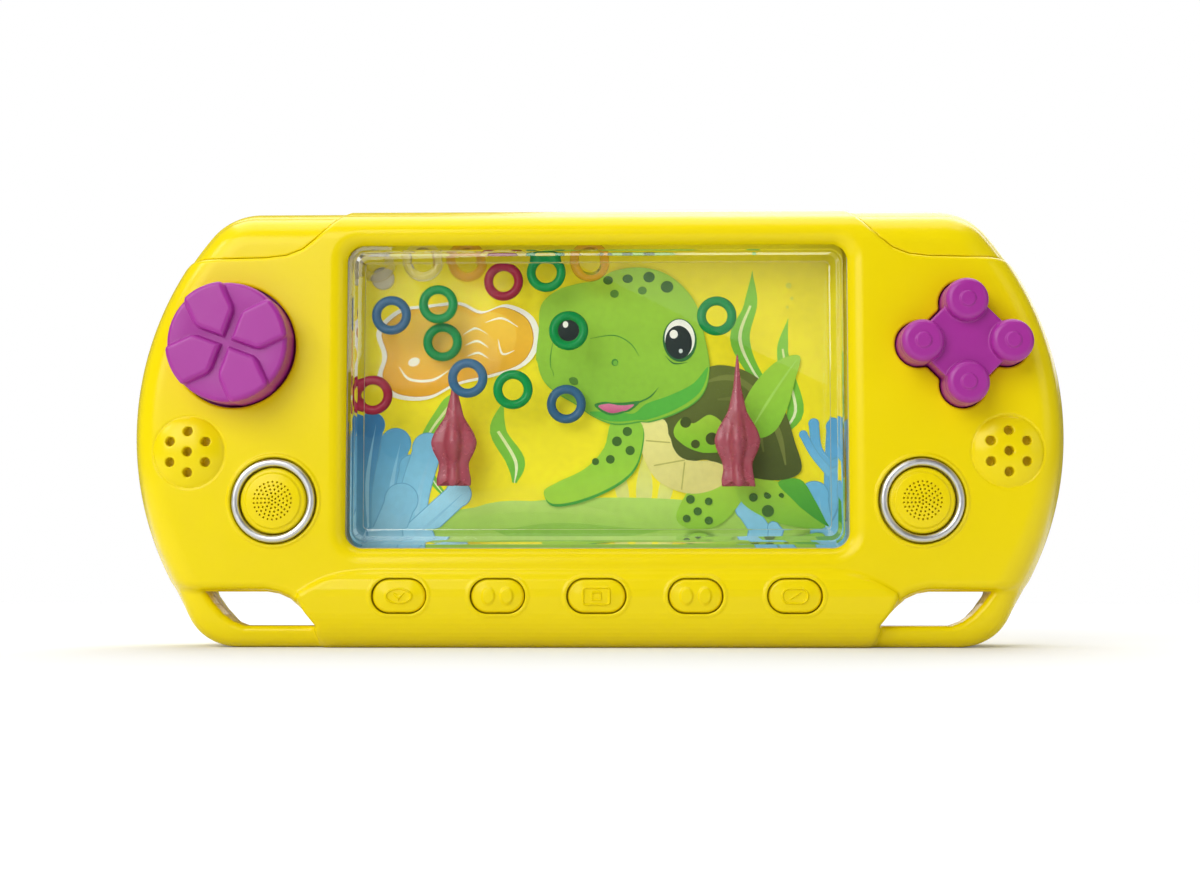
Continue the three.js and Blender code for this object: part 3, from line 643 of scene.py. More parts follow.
def key_outline(x, z, number):
    """An oval key from the front. The middle one is a little wider."""
    width = 10.2 if number == 3 else 9.4
    return plate(x, z, ((number - 3) * KEY_PITCH, KEY_Z), (width, 5.9), 2.94)


def front_casing(x, y, z):
    """The front casing: a raised panel with its wells and openings, a rail with slots for the
    keys, and two strap eyes."""
    ax = np.abs(x)
    rim = drafted_outline(ax, y, z)
    panel_area = polygon(ax, z, PANEL)
    panel = both(both(rim, FACE_Y - y, 5.2), panel_area, 1.9)
    body = either(both(rim, TUBE_Y - y, 3.4), panel, 0.7)
    rail = both(polygon(ax, z, RAIL), polygon(y, z, RAIL_PROFILE) - 1.1, 1.1)
    body = either(body, np.maximum(rail, rim), 0.5)
    hollow = np.maximum(both(rim + WALL, FACE_Y + WALL - y, 2.5), panel_area + WALL)
    # The low domes at the sides, each in a faint ring, and soft lips round the wells and keys.
    from_dome = np.hypot(ax - DOME[0], z - DOME[1])
    dome = 0.8 * (FACE_Y - 1.42 * (1 - (from_dome / 6.2) ** 2.8) - y)
    body = either(body, np.maximum(np.maximum(dome, from_dome - 6.3), y + 7), 0.12)
    body = body + 0.16 * ramp(np.abs(from_dome - 6.3), 0.35, 0)
    body = body - 0.22 * ramp(-disc(ax, z, THUMB, 8.45), 0, 0.35)
    keys = np.minimum.reduce([key_outline(x, z, number) for number in range(1, 6)])
    body = body - 0.14 * ramp(-keys, -0.95, -0.65)
    body = without(body, plate(x, z, WINDOW_CENTRE, WINDOW_SIZE, 2.6), 3.3)
    body = without(body, hollow, 0.3)
    body = without(body, disc(x, z, LEFT_BUTTON, 10.9), 0.5)
    pads, square = four_pads(x, z, 4.05, 10.1)
    body = without(body, either(pads, square, 0.4), 0.45)
    # A stepped well for each thumb button.
    body = without(body, np.maximum(disc(ax, z, THUMB, 7.65), y + 6.6), 0.35)
    body = without(body, disc(ax, z, THUMB, 6.15))
    body = without(body, keys - 0.14, 0.22)
    # Seven holes in each dome.
    turns = np.arange(6) * math.pi / 3
    around = [(0, 0)] + [(3.6 * math.sin(turn), 3.6 * math.cos(turn)) for turn in turns]
    holes = [disc(ax, z, (DOME[0] + dx, DOME[1] + dz), 0.82) for dx, dz in around]
    holes = np.minimum.reduce(holes)
    body = without(body, np.maximum(holes, y + 6.7), 0.18)
    body = without(body, polygon(ax, z, SHOULDER) - 0.02, 0.8)
    body = without(body, polygon(ax, z, STRAP_EYE) - 0.14 * np.maximum(y + 1, 0), 1.1)
    return both(body, y - PARTING_Y + 0.12, 0.3)


def shoulder_cap(x, y, z):
    """The right shoulder cap: a corner of the rim, a little lower than the front casing."""
    rim = drafted_outline(x, y, z)
    cap = both(rim + 0.2, FACE_Y + 0.45 - y, 6.0)
    cap = both(cap, polygon(x, z, SHOULDER) + 0.03, 0.12)
    cap = without(cap, both(rim + WALL, FACE_Y + WALL + 0.3 - y, 2.5))
    return both(cap, y - PARTING_Y + 0.12, 0.3)


# The screws of the right half, and the filler, seen from the front.
SCREWS = [(49.6, 66.0), (72.5, 20.0), (44.3, 8.0)]
FILLER = (-39.6, 67.0)


def back_casing(x, y, z):
    """The back casing: a flat back with screw wells, the filler's opening and two strap eyes."""
    ax = np.abs(x)
    rim = casing_outline(ax, z)
    body = both(rim, y - BACK_Y, 5.0)
    hollow = both(both(rim + WALL, y - BACK_Y + WALL, 3.0), polygon(ax, z, PANEL) + WALL)
    from_screw = np.minimum.reduce([disc(ax, z, at, 0) for at in SCREWS])
    posts = np.maximum(from_screw - 4.2, PARTING_Y + 0.15 - y)
    body = without(body, hollow)
    body = either(body, np.maximum(posts, y - 14.0), 0.3)
    body = without(body, np.maximum(from_screw - 3.0, 10.0 - y), 0.5)
    body = without(body, from_screw - 1.6)
    body = without(body, disc(x, z, FILLER, 4.6), 0.5)
    body = without(body, polygon(ax, z, STRAP_EYE) - 0.14 * (y + 1), 1.1)
    groove = np.abs(plate(x, z, (0, 40.0), (96, 44), 5)) - 0.35
    body = without(body, np.maximum(groove, BACK_Y - 0.3 - y), 0.15)
    return both(body, PARTING_Y + 0.12 - y, 0.3)


def left_button(x, y, z):
    """A round cap with four raised pads that point to its middle."""
    dx, dz = x - LEFT_BUTTON[0], z - LEFT_BUTTON[1]
    turn = math.radians(25)
    across = np.abs(dx * math.cos(turn) + dz * math.sin(turn))
    along = np.abs(dz * math.cos(turn) - dx * math.sin(turn))
    out, width = np.maximum(across, along), np.minimum(across, along)
    round_rim = np.hypot(dx, dz)
    pad = both(width - 3.75, (width - out + 0.95) / math.sqrt(2), 0.7)
    pad = both(pad, np.maximum(round_rim - 10.65, width * 0.22 + out - 11.2), 0.7)
    cap = both(round_rim - 10.5, -13.85 - y, 0.8)
    dished = cap + 0.25 * ramp(round_rim, 9.0, 3.0) * (y < -12)
    cap = either(dished, both(pad, -14.95 - y, 0.9), 0.2)
    cap = np.maximum(cap, -(np.maximum(round_rim - 9.0, -11.8 - y)))
    flange = np.maximum(np.maximum(round_rim - 11.8, flange_depth(y)), 9.0 - round_rim)
    stem = np.maximum(round_rim - 3.0, np.abs(y + 8.6) - 4.3)
    return np.minimum(np.minimum(np.maximum(cap, y - SKIRT_Y), flange), stem)


def right_button(x, y, z):
    """Four round pads standing on a square plate, each with a small raised disc."""
    pads, square = four_pads(x, z, 3.72, 9.75)
    plate_top = both(np.minimum(pads, square), -12.35 - y, 0.35)
    block = either(plate_top, both(pads, -14.3 - y, 1.15), 0.35)
    dx, dz = x - RIGHT_BUTTON[0], z - RIGHT_BUTTON[1]
    block = either(block, both(four_rounds(dx, dz, 1.35), -14.62 - y, 0.25), 0.2)
    footprint = np.minimum(pads, square)
    block = np.maximum(block, -(np.maximum(footprint + 1.5, -11.2 - y)))
    flange = np.maximum(np.abs(footprint) - 1.3, flange_depth(y))
    stem = np.maximum(np.hypot(dx, dz) - 3.0, np.abs(y + 8.0) - 3.7)
    return np.minimum(np.minimum(np.maximum(block, y - SKIRT_Y), flange), stem)


def thumb_cap(x, y, z):
    """A low domed cap with a groove near its rim and rings of fine holes."""
    radius = np.hypot(x, z)
    top = -9.05 + 0.016 * radius**2 - 0.28 * ramp(radius, 5.1, 4.7)
    cap = both(radius - 5.8, top + 0.28 - y, 0.45)
    cap = without(cap, both(np.abs(radius - 5.02) - 0.16, y + 8.55), 0.08)
    holes = np.full(np.broadcast(x, z).shape, 9.0)
    for ring, count in enumerate((1, 6, 11, 16, 21, 26)):
        reach = ring * 0.66
        for i in range(count):
            turn = 2 * math.pi * (i + 0.5 * (ring % 2)) / count
            hole = disc(x, z, (reach * math.cos(turn), reach * math.sin(turn)), 0.17)
            holes = np.minimum(holes, hole)
    cap = without(cap, np.maximum(holes, y + 8.2), 0.05)
    hollow = np.maximum(radius - 4.6, -7.6 - y)
    cap = np.maximum(np.maximum(cap, -hollow), y - SKIRT_Y)
    flange = np.maximum(np.maximum(radius - 6.9, flange_depth(y)), 4.6 - radius)
    stem = np.maximum(radius - 2.1, np.abs(y + 4.7) - 3.2)
    return np.minimum(np.minimum(cap, flange), stem)


def icon(x, z, number):
    """A plain raised mark for each key, about its middle, and the width of the mark's slopes."""
    if number in (2, 4):
        return np.hypot((np.abs(x) - 1.6) / 1.2, z / 1.6) - 1, 0.3
    if number == 3:
        frame_line = np.abs(plate(x, z, (0, 0), (4.6, 2.9), 0.5)) - 0.14
        sign = np.abs(plate(x, z, (0, 0), (1.5, 1.3), 0.2)) - 0.12
    elif number == 1:
        frame_line = np.abs(np.hypot(x / 2.2, z / 1.25) - 1) * 1.5 - 0.14
        sign = polygon(x, z, [(-1.0, 0.55), (0, -0.75), (1.0, 0.55), (0, 0.2)])
    else:
        frame_line = np.abs(plate(x, z, (0, 0), (4.4, 2.5), 1.2)) - 0.14
        sign = polygon(x, z, [(-1.1, -0.6), (-0.8, -0.6), (1.1, 0.6), (0.8, 0.6)])
    return np.minimum(frame_line, sign), 0.16


def oval_key(x, y, z, number):
    """An oval key with a pillowed top, a raised icon and a flange behind the casing's wall."""
    side = key_outline(x, z, number)
    pillow = 0.28 * ramp(side, -2.6, -0.2)
    crown = both(side + 0.06, -9.18 + pillow - y, 0.55)
    mark, soft = icon(x - (number - 3) * KEY_PITCH, z - KEY_Z, number)
    crown = crown - 0.36 * ramp(-mark, -0.1, soft)
    flange = np.maximum(side - 0.7, flange_depth(y))
    return np.minimum(np.maximum(crown, y + 5.0), flange)


# A peg's radius from its feet to its point, smoothed between a few stations.
PEG_HEIGHT = np.linspace(-0.2, 1.2, 281)
PEG_RADIUS = np.interp(
    PEG_HEIGHT,
    (0.0, 0.06, 0.13, 0.2, 0.3, 0.37, 0.45, 0.58, 0.76, 0.9, 1.0, 1.03),
    (3.1, 3.3, 2.9, 2.75, 3.95, 4.35, 3.7, 1.75, 0.75, 0.42, 0.2, 0.0),
)
SMOOTHER = np.hanning(19)[1:-1] / np.hanning(19).sum()
PEG_RADIUS = np.convolve(np.pad(PEG_RADIUS, 8, "edge"), SMOOTHER, "valid")


def peg(x, y, height):
    """A peg from its feet at height 0 to its point at 1: a slim snout on a lobed belly, a waist
    and flared feet. It is flatter than it is wide, and a pin holds it to the tank's back."""
    radius = np.interp(height, PEG_HEIGHT, PEG_RADIUS)
    flatness = 0.62
    turn = np.arctan2(y / flatness, x) + math.pi / 2
    lobes = 0.5 - 0.5 * np.cos(5 * turn)
    radius = radius * (1 - lobes * (0.05 + 0.25 * ramp(height, 0.66, 0.42)))
    skin = (np.hypot(x, y / flatness) - radius) * 0.6
    skin = np.maximum(skin, (0.012 + 0.035 * lobes - height) * 22)
    pin = np.maximum(np.hypot(x, (height - 0.34) * 23) - 1.1, np.maximum(-y, y - 3.2))
    return np.minimum(skin, pin)


def filler_plug(x, y, z):
    """A soft plug: a ribbed stem, and a dished head with a tab to pull it by."""
    dx, dz = x - FILLER[0], z - FILLER[1]
    radius = np.hypot(dx, dz)
    stem = both(both(radius - 2.1, 3.2 - y, 0.4), y - 13.2)
    ribs = both(np.hypot(radius - 2.1, (y + 0.5) % 1.6 - 0.8) - 0.16, np.abs(y - 8) - 3.5)
    head = both(both(radius - 4.05, 12.8 - y, 0.2), y - 13.9, 0.35)
    tab = both(plate(dx, dz, (0, 0), (4.6, 1.3), 0.6), y - 14.9, 0.35)
    dish = np.maximum(np.abs(radius - 3.1) - 0.25, 13.7 - y)
    head = np.maximum(head, -dish)
    return either(np.minimum(np.minimum(stem, ribs), head), np.maximum(tab, 13 - y), 0.3)


def screw(x, y, z):
    """A pan-head screw with a cross recess and a thread."""
    radius = np.hypot(x, z)
    thread = 0.22 * np.abs(2 * ((y / 0.9 + np.arctan2(z, x) / (2 * math.pi)) % 1) - 1)
    point = ramp(y, -2.0, -0.4)
    shank = both(radius - (0.75 + thread) * np.maximum(point, 0.2), np.maximum(-2.0 - y, y - 10.6))
    head = both(both(radius - 2.5, 10.3 - y, 0.1), np.hypot(radius, y - 7.6) - 4.35, 0.25)
    cross = np.minimum(
        np.maximum(np.abs(x) - 0.3, np.abs(z) - 1.25), np.maximum(np.abs(z) - 0.3, np.abs(x) - 1.25)
    )
    return without(np.minimum(shank, head), np.maximum(cross + 0.25 * (12 - y), 11.0 - y), 0.05)


def corners_loop(centre, size, radius, y):
    """A rounded rectangle at depth y as a loop of 40 points, whatever its size."""
    loop = []
    for corner in range(4):
        start = corner * math.pi / 2
        cx = centre[0] + (size[0] / 2 - radius) * (1 if corner in (0, 3) else -1)
        cz = centre[1] + (size[1] / 2 - radius) * (1 if corner < 2 else -1)
        for angle in np.linspace(start, start + math.pi / 2, 10):
            loop.append((cx + radius * math.cos(angle), y, cz + radius * math.sin(angle)))
    return loop


def window_loop(grow, y):
    """The window's outline, grown by a length, at depth y."""
    size = [s + 2 * grow for s in WINDOW_SIZE]
    return corners_loop(WINDOW_CENTRE, size, max(2.6 + grow * 0.6, 0.6), y)


def chamber_loop(grow, y):
    """The tank's inside outline, grown by a length, at depth y."""
    return corners_loop(CHAMBER_CENTRE, [s + 2 * grow for s in CHAMBER_SIZE], 2.8 + grow, y)


# ---- Artwork of the card, in millimetres -------------------------------------------------------

# Each ink lies a little in front of the one before, so that none flickers through another.
CARD_Y, CARD_THICKNESS, INK_STEP = 4.0, 0.4, 0.006


def oval(x, z, half_width, half_height, turn=0.0):
    """An oval of 28 points about (x, z), turned anticlockwise."""
    points = []
    cos, sin = math.cos(turn), math.sin(turn)
    for angle in np.arange(28) * 2 * math.pi / 28:
        px, pz = half_width * math.cos(angle), half_height * math.sin(angle)
        points.append((x + px * cos - pz * sin, z + px * sin + pz * cos))
    return points


def ribbon(points, widths):
    """A band along an open smooth line, with its width given at each point."""
    p = np.array([points[0], *points, points[-1]], float)
    w = np.array([widths[0], *widths, widths[-1]], float)
    line, wide, steps = [], [], 6
    for i in range(1, len(p) - 2):
        for t in np.arange(steps + (i == len(p) - 3)) / steps:
            line.append(between(*p[i - 1 : i + 3], t))
            wide.append(w[i] + (w[i + 1] - w[i]) * t * t * (3 - 2 * t))
    line, wide = np.array(line), np.maximum(np.array(wide), 0.02)
    along = np.gradient(line, axis=0)
    along /= np.maximum(np.linalg.norm(along, axis=1, keepdims=True), 1e-9)
    beside = np.stack([-along[:, 1], along[:, 0]], axis=1) * wide[:, None] / 2
    return [tuple(q) for q in np.concatenate([line + beside, (line - beside)[::-1]])]


def artwork():
    """The card's inks from the bottom layer up: an outline, and its colours at foot and top."""
    inks = []

    def ink(outline, low, high=None):
        inks.append((outline, low, high or low))

    def blob(points, *colours):
        ink(curve_through(points), *colours)

    def band(line, widths, *colours):
        ink(ribbon(line, widths), *colours)

    def dots(places, colour):
        for x, z, half_width, *half_height in places:
            ink(oval(x, z, half_width, *half_height or [half_width]), colour)

    edge = [(x, z) for x, _, z in chamber_loop(-0.05, 0)]
    # The card's yellow grows a little darker towards its top.
    ink(edge, "#F8E822", "#F4E01A")
    # Pale water plants behind, then the seabed.
    for foot, tip, width in [(5, (3.2, 33), 2.4), (8, (8.5, 36.5), 3.0), (11, (13.5, 33), 2.6)]:
        line = [(foot, 23), ((foot + tip[0]) / 2, 28), tip]
        band(line, [width * 0.6, width, 0.1], "#D9DE86", "#E4DF62")
    brow = [(x, 19.6 + 6.6 * math.sin(math.pi * (x + 46) / 96) ** 0.8) for x in range(-34, 45, 3)]
    ink([(-46, 15), *brow, (46, 15)], "#97C84C", "#B4D962")
    band(
        [(-30, 21.5), (-18, 24.5), (-4, 24), (10, 21.5)], [0.2, 2.2, 1.6, 0.2], "#A6D254", "#BEDD6E"
    )
    band([(-24, 19), (-8, 20.8), (8, 19.6), (24, 18.6)], [0.2, 1.6, 1.6, 0.2], "#86BE44", "#98C94E")
    # Seaweeds with pale midribs.
    weeds = [
        ([(31.5, 46), (28.4, 50), (26.0, 56), (27.9, 62), (28.2, 68.4)], [1.2, 2.4, 3.6, 2.4, 0.1]),
        (
            [(33.2, 38), (36.2, 42.5), (34.6, 49.5), (33.8, 54), (34.8, 59.6)],
            [1.0, 3.0, 2.6, 2.0, 0.1]
        ),
        ([(-15.4, 29), (-15.2, 33), (-18.4, 38.5), (-17.4, 44)], [0.9, 3.4, 3.0, 0.3]),
        ([(-27.5, 26), (-31, 31), (-31.5, 37), (-27.5, 43), (-26, 46)], [0.6, 1.6, 2.2, 3.2, 0.4]),
    ]
    for line, widths in weeds:
        band(line, widths, "#6DBB3A", "#8ECB3C")
        band(line[:-1], [w * 0.18 for w in widths[:-1]], "#E8EFC4", "#DDE89A")
    # Corals: each a clump of round-ended fingers.
    clumps = [
        ([(-42.4, 16), (-43, 29), (-41.5, 39.8)], 4.6, "#7CC0DE", "#3F86BE"),
        ([(-38.6, 16), (-38.8, 27), (-37.1, 36.4)], 5.4, "#8CC8E2", "#5FA9D3"),
        ([(-35.4, 16), (-35.2, 26), (-34.2, 32)], 4.4, "#9AD2E8", "#76BADC"),
        ([(-34, 16), (-33.8, 26), (-31.2, 35.4)], 5.6, "#93CDE6", "#7FC3E4"),
        ([(-39, 14), (-33.6, 19.6), (-25.6, 27)], 4.6, "#8ACAE8", "#A2D8F0"),
        ([(-41.4, 14), (-38.4, 20), (-36, 26)], 6.0, "#9AD0E8", "#86C4E2"),
        ([(43.6, 14), (42.8, 27), (43.2, 39.6)], 2.8, "#7CC2E6", "#5AA8DC"),
        ([(43.2, 22), (43, 31), (40.2, 35.4), (39.5, 40.2)], 1.7, "#7CC2E6", "#63B0E0"),
        ([(42.6, 31), (39.6, 34.6), (37.6, 38.2)], 1.3, "#7CC2E6", "#63B0E0"),
        ([(43, 17), (40.6, 21), (39.6, 27)], 5.2, "#86C8E8", "#72BCE4"),
        ([(31.6, 15), (29.6, 19.4), (26.6, 24)], 3.6, "#7FC6E4", "#8CCCE8"),
        ([(36.4, 15.5), (34, 18), (31.6, 20.6)], 2.0, "#7FC6E4", "#8CCCE8"),
    ]
    for line, width, low, high in clumps:
        widths = [width, width * 0.94] + [width * 0.9] * (len(line) - 2)
        dots([(*line[-1], width * 0.5 + 0.14)], "#5E9FC6")
        band(line, [w + 0.3 for w in widths], "#74B4D4", "#5E9FC6")
        band(line, widths, low, high)
        dots([(*line[-1], width * 0.5)], high)
        if width > 4:
            gleam = [(x + 0.16 * width, z) for x, z in line]
            band(gleam, [0.05, width * 0.16, 0.05], "#A9DAEF", "#7FBFE0")
    # An orange jelly shape with a white edge.
    jelly = [
        (-39.6, 57), (-36, 60.6), (-31, 61.4), (-25.5, 62), (-21.6, 60.4), (-17.4, 61.6),
        (-13, 59.4), (-11.9, 55)
    ]
    jelly += [
        (-14.4, 51), (-20, 49), (-26, 47.6), (-31, 45.2), (-36.6, 45.6), (-39.4, 48.6),
        (-38.6, 52.6)
    ]
    middle = np.mean(jelly, axis=0)
    for growth, lift, low, high in [
        (1.085, 0, "#F6F1DC", "#FBF7E8"),
        (1.01, 0, "#C98A1C", "#B97C22"),
        (1, 0, "#E9A826", "#F3BE34"),
        (0.8, 0.6, "#EEB02C", "#F8CB46"),
    ]:
        blob([middle + (np.array(p) - middle) * growth + (0, lift) for p in jelly], low, high)
    for line, width in [
        ([(-36.5, 50.5), (-34.6, 48.2), (-30.5, 48.0), (-27.4, 49.8)], 0.5),
        ([(-24.8, 56.4), (-22.4, 57.6), (-20.2, 56.4)], 0.45),
        ([(-24.4, 54.4), (-22.2, 55.2), (-20.2, 54)], 0.45),
        ([(-24, 52.4), (-22, 53), (-20.2, 52)], 0.45),
        ([(-18.4, 55.6), (-17.6, 52.8), (-15.4, 53.4)], 0.4),
        ([(-20.6, 58.8), (-17.6, 59.6), (-14.6, 58)], 0.4),
    ]:
        band(line, [0.1, *[width] * (len(line) - 2), 0.1], "#FBF3DA")
    ink(oval(-33.8, 51.4, 1.1, 0.8, 0.4), "#FBF3DA")
    # The turtle, from its shell forward.
    blob(
        [(20, 31), (16.4, 27.6), (14, 22.6), (16.6, 20.4), (21.6, 21), (25.4, 24.8), (27, 29)],
        "#8CC436", "#A8D23C"
    )
    blob(
        [(25, 30), (25.6, 25.6), (29.6, 22.6), (35, 20.8), (41, 20.6), (38.6, 25), (33.6, 29.4)],
        "#7EBE36", "#A2CE3C"
    )
    blob([(33, 29.4), (36, 26), (40, 22), (42, 21.4), (39.6, 26.4), (37, 30)], "#3F9A35", "#5CAE38")
    shell = [
        (17, 46), (20, 50.4), (25, 50.6), (30, 48), (33.8, 43.4), (36, 37), (37.2, 31.6),
        (33, 29.8), (26, 30.8)
    ]
    shell += [(20, 33), (14.4, 32.6), (12, 36.6), (11.8, 41)]
    blob(shell, "#4A5622", "#65702E")
    band(
        [(19, 47.6), (24.6, 48.6), (29.6, 45), (33, 38.6), (34.4, 32.6)], [0.3, 1.1, 1.2, 1.1, 0.3],
        "#77803C"
    )
    band([(22, 44.6), (26, 44.4), (29, 40.6), (30.4, 35)], [0.3, 1.0, 1.0, 0.3], "#6F7836")
    belly = [
        (7.2, 40.6), (12.4, 40.8), (13.4, 35.6), (16, 33), (22.8, 32.6), (22.6, 28.6), (17, 26.8),
        (11, 29), (8, 34)
    ]
    blob(belly, "#DCD27E", "#EBE48E")
    for line in ([(8.6, 36.6), (13, 36.2)], [(10, 32), (15.6, 33)], [(15, 27.6), (15.6, 32.6)]):
        band(line, [0.25, 0.25], "#B9B45C")
    patch = [
        (14, 38.6), (15.6, 41.2), (17.6, 40.2), (20.6, 41.8), (23.4, 39.6), (24, 35.6), (20, 34.8),
        (16, 35.6)
    ]
    blob(patch, "#7FBE28", "#A6D03C")
    dots([(16.2, 40.4, 1.0), (21, 37.4, 1.15), (18, 36.4, 0.8)], "#44521C")
    rear = [
        (36.9, 52.6), (33, 51.8), (29.2, 48.2), (26.8, 44), (26.6, 40.4), (29.4, 37.6), (32.6, 39),
        (34.8, 43.4), (36, 48)
    ]
    blob(rear, "#86C436", "#A2D040")
    band([(28.4, 39.6), (31, 44), (34, 48.6), (36.4, 52)], [0.2, 0.5, 0.4, 0.1], "#A9D65A")
    flipper = [
        (2.6, 40.4), (7.6, 40), (7.8, 35.4), (6, 31), (1.6, 27.8), (-4.2, 25.6), (-8.6, 25.2),
        (-10, 27.4)
    ]
    flipper += [(-7.6, 29), (-2.4, 31.6), (1, 35.4)]
    blob([(x + 0.15, z - 0.5) for x, z in flipper], "#3F9A35", "#4FA339")
    blob(flipper, "#A0D03A", "#8CC63E")
    dots(
        [
            (5.2, 38.3, 0.85), (3.3, 36.5, 0.9), (5.7, 34.8, 0.85), (2.1, 33.2, 0.8),
            (-0.6, 32.8, 0.65)
        ],
        "#3F6A24"
    )
    dots(
        [
            (16.6, 25.8, 0.8), (19.9, 25.4, 0.7), (17.9, 23.6, 0.75), (15.9, 22.3, 0.7),
            (19.9, 21.9, 0.75)
        ],
        "#3F6A24"
    )
    dots([(28, 26.1, 0.8), (30.6, 26.5, 0.7), (30.6, 23.6, 1.1), (33.6, 27, 0.5)], "#3F6A24")
    head = [
        (-10.4, 62), (-7.4, 64.8), (-3.6, 66), (-0.4, 66.6), (3, 68.4), (7.6, 69), (12, 68),
        (15.6, 65.4)
    ]
    head += [
        (18.2, 61.6), (19.4, 56.6), (20.4, 51), (19.6, 46.4), (17, 43.6), (12.4, 41.4), (7.4, 40.2),
        (2.8, 39.8)
    ]
    head += [(-1, 41.2), (-4.4, 43.6), (-8, 45.8), (-10.4, 48.4), (-11.2, 52), (-10.8, 57)]
    blob([(x + 0.1, z - 0.25) for x, z in head], "#4F9E3C", "#74AE38")
    blob(head, "#86BC36", "#9CC83A")
    chin = [
        (-1.6, 42), (2, 40.2), (8, 40.6), (14, 42.6), (18.8, 46), (20.2, 50.6), (17.6, 47.6),
        (13.4, 45.4), (9, 43.8), (6, 41.8)
    ]
    blob(chin, "#52AE3C", "#5AB43E")
    dots(
        [
            (1.8, 66.6, 0.9, 0.8), (5.4, 66.9, 0.95, 0.8), (9.3, 67.2, 1.05, 1.0),
            (12.6, 65.4, 1.15, 1.1)
        ],
        "#3E6B25"
    )
    dots([(8.1, 64.7, 0.8, 0.75), (3, 64.1, 0.8, 0.75), (-4.4, 47.8, 0.95, 0.9)], "#55862C")
    band([(-8.0, 56), (-8.6, 52), (-8.2, 48.6)], [0.06, 0.16, 0.06], "#4C9236")
    band([(-1.4, 55.8), (3, 56.4), (6, 54.9), (7.6, 52.6)], [0.06, 0.18, 0.18, 0.06], "#4C9236")
    ink(oval(3.2, 51.4, 0.62, 0.66), "#4C9236")
    ink(oval(3.3, 51.3, 0.4, 0.45), "#76B83C")
    blob([(-0.8, 43.2), (2, 43.9), (5, 44), (7.8, 44.2), (5.6, 42.2), (2, 41.3)], "#37803A")
    blob(
        [(-0.1, 43), (2.4, 43.5), (5, 43.5), (6.8, 43.6), (4.9, 42.3), (2.2, 41.7)], "#C0567C",
        "#D8799A"
    )
    band([(7.2, 43.9), (9.6, 45), (11.2, 46.8)], [0.3, 0.25, 0.05], "#37803A")
    # Eyes: dark ovals with a white crescent and small lights.
    ink(oval(15, 55.5, 3.1, 4.0, 0.08), "#2F6B34")
    ink(oval(15, 55.8, 2.75, 3.55, 0.08), "#F4F2E6")
    ink(oval(14.8, 55.1, 2.45, 3.1, 0.08), "#1E2A2A", "#27302E")
    ink(oval(13.9, 56.6, 0.75, 0.8), "#F4F2E6")
    ink(oval(15.2, 53.5, 0.35, 0.4), "#CFD8D4")
    band([(12.4, 52.6), (14, 51.2), (16.4, 51.4)], [0.05, 0.25, 0.05], "#2F6B34")
    ink(oval(-5.3, 57.2, 2.5, 3.0), "#2F6B34")
    ink(oval(-5.3, 57.2, 2.0, 2.6), "#1E2A2A", "#27302E")
    ink(oval(-5.9, 58.4, 0.5, 0.6), "#F4F2E6")
    # Bubbles.
    dots([(34.8, 65.6, 0.55), (35.4, 63.2, 0.35), (34.6, 61.6, 0.3)], "#DBD63A")
    return inks


# ---- Sizes and colours -------------------------------------------------------------------------


class ToySizes(bpy.types.PropertyGroup):
    ring_outside: bpy.props.FloatProperty(
        name="Ring diameter",
        description="Outside diameter of a tossing ring",
        default=7.1 * MM,
        unit="LENGTH",
    )
    ring_wire: bpy.props.FloatProperty(
        name="Ring thickness",
        description="Thickness of a ring's round section",
        default=1.66 * MM,
        unit="LENGTH",
    )
    fineness: bpy.props.FloatProperty(
        name="Fineness",
        description="Grid step that the casings are meshed with",
        default=0.26 * MM,
        unit="LENGTH",
    )


def colour_property(name, description, hex_colour):
    return bpy.props.FloatVectorProperty(
        name=name,
        description=description,
        default=linear(hex_colour),
        subtype="COLOR",
        size=4,
        min=0,
        max=1,
    )


class ToyColours(bpy.types.PropertyGroup):
    casing: colour_property("Casing", "Yellow of the casing", "#F5DE04")
    casing_shade: colour_property(
        "Casing shade", "Deeper yellow that the casing drifts to", "#F2D900"
    )
    button: colour_property("Buttons", "Purple of the pump buttons", "#AC2E9E")
    button_shade: colour_property(
        "Button shade", "Deeper purple that the buttons drift to", "#A22694"
    )
    peg: colour_property("Pegs", "Wine tint of the pegs", "#D0667A")
    peg_shade: colour_property("Peg shade", "Deeper tint that streaks the pegs", "#A83E52")
    green_ring: colour_property("Green rings", "Green of the rings", "#069E4C")
    blue_ring: colour_property("Blue rings", "Blue of the rings", "#3F7096")
    red_ring: colour_property("Red rings", "Red of the rings", "#A42440")
    amber_ring: colour_property("Amber rings", "Tint of the amber rings", "#FBD65E")
    clear_ring: colour_property("Natural rings", "Tint of the uncoloured rings", "#FAF6E6")


# ---- Pieces ------------------------------------------------------------------------------------

# Grid steps in millimetres, from the plain back to the caps with their pinholes and icons.
BACK_STEP, SHOULDER_STEP, STRIP_STEP = 0.4, 0.3, 0.25
BUTTON_STEP, SMALL_STEP, CAP_STEP = 0.16, 0.14, 0.11


class TOY_OT_front_casing(bpy.types.Operator):
    """Moulds the front casing and both shoulder caps"""

    bl_idname = "toy.front_casing"
    bl_label = "Front Casing"

    def execute(self, context):
        step = context.scene.toy_sizes.fineness / MM
        low, high = (-84.6, -10.2, -0.6), (84.6, 4.2, 79.6)
        piece = moulded("front_casing", front_casing, low, high, step, finish("casing"), share=0.28)
        fit_to_toy(piece, "casing", "casing", "front_shell")
        for side, sign in SIDES.items():
            low, high = sorted((sign * 44.0, sign * 84.6))
            piece = moulded(
                f"shoulder_cap_{side}_moulding",
                lambda x, y, z: shoulder_cap(sign * x, y, z),
                (low, -8.4, 68.0),
                (high, 4.2, 79.6),
                SHOULDER_STEP,
                finish("casing"),
                share=0.5,
            )
            fit_to_toy(piece, "casing", "casing", f"shoulder_cap_{side}")
        return {"FINISHED"}


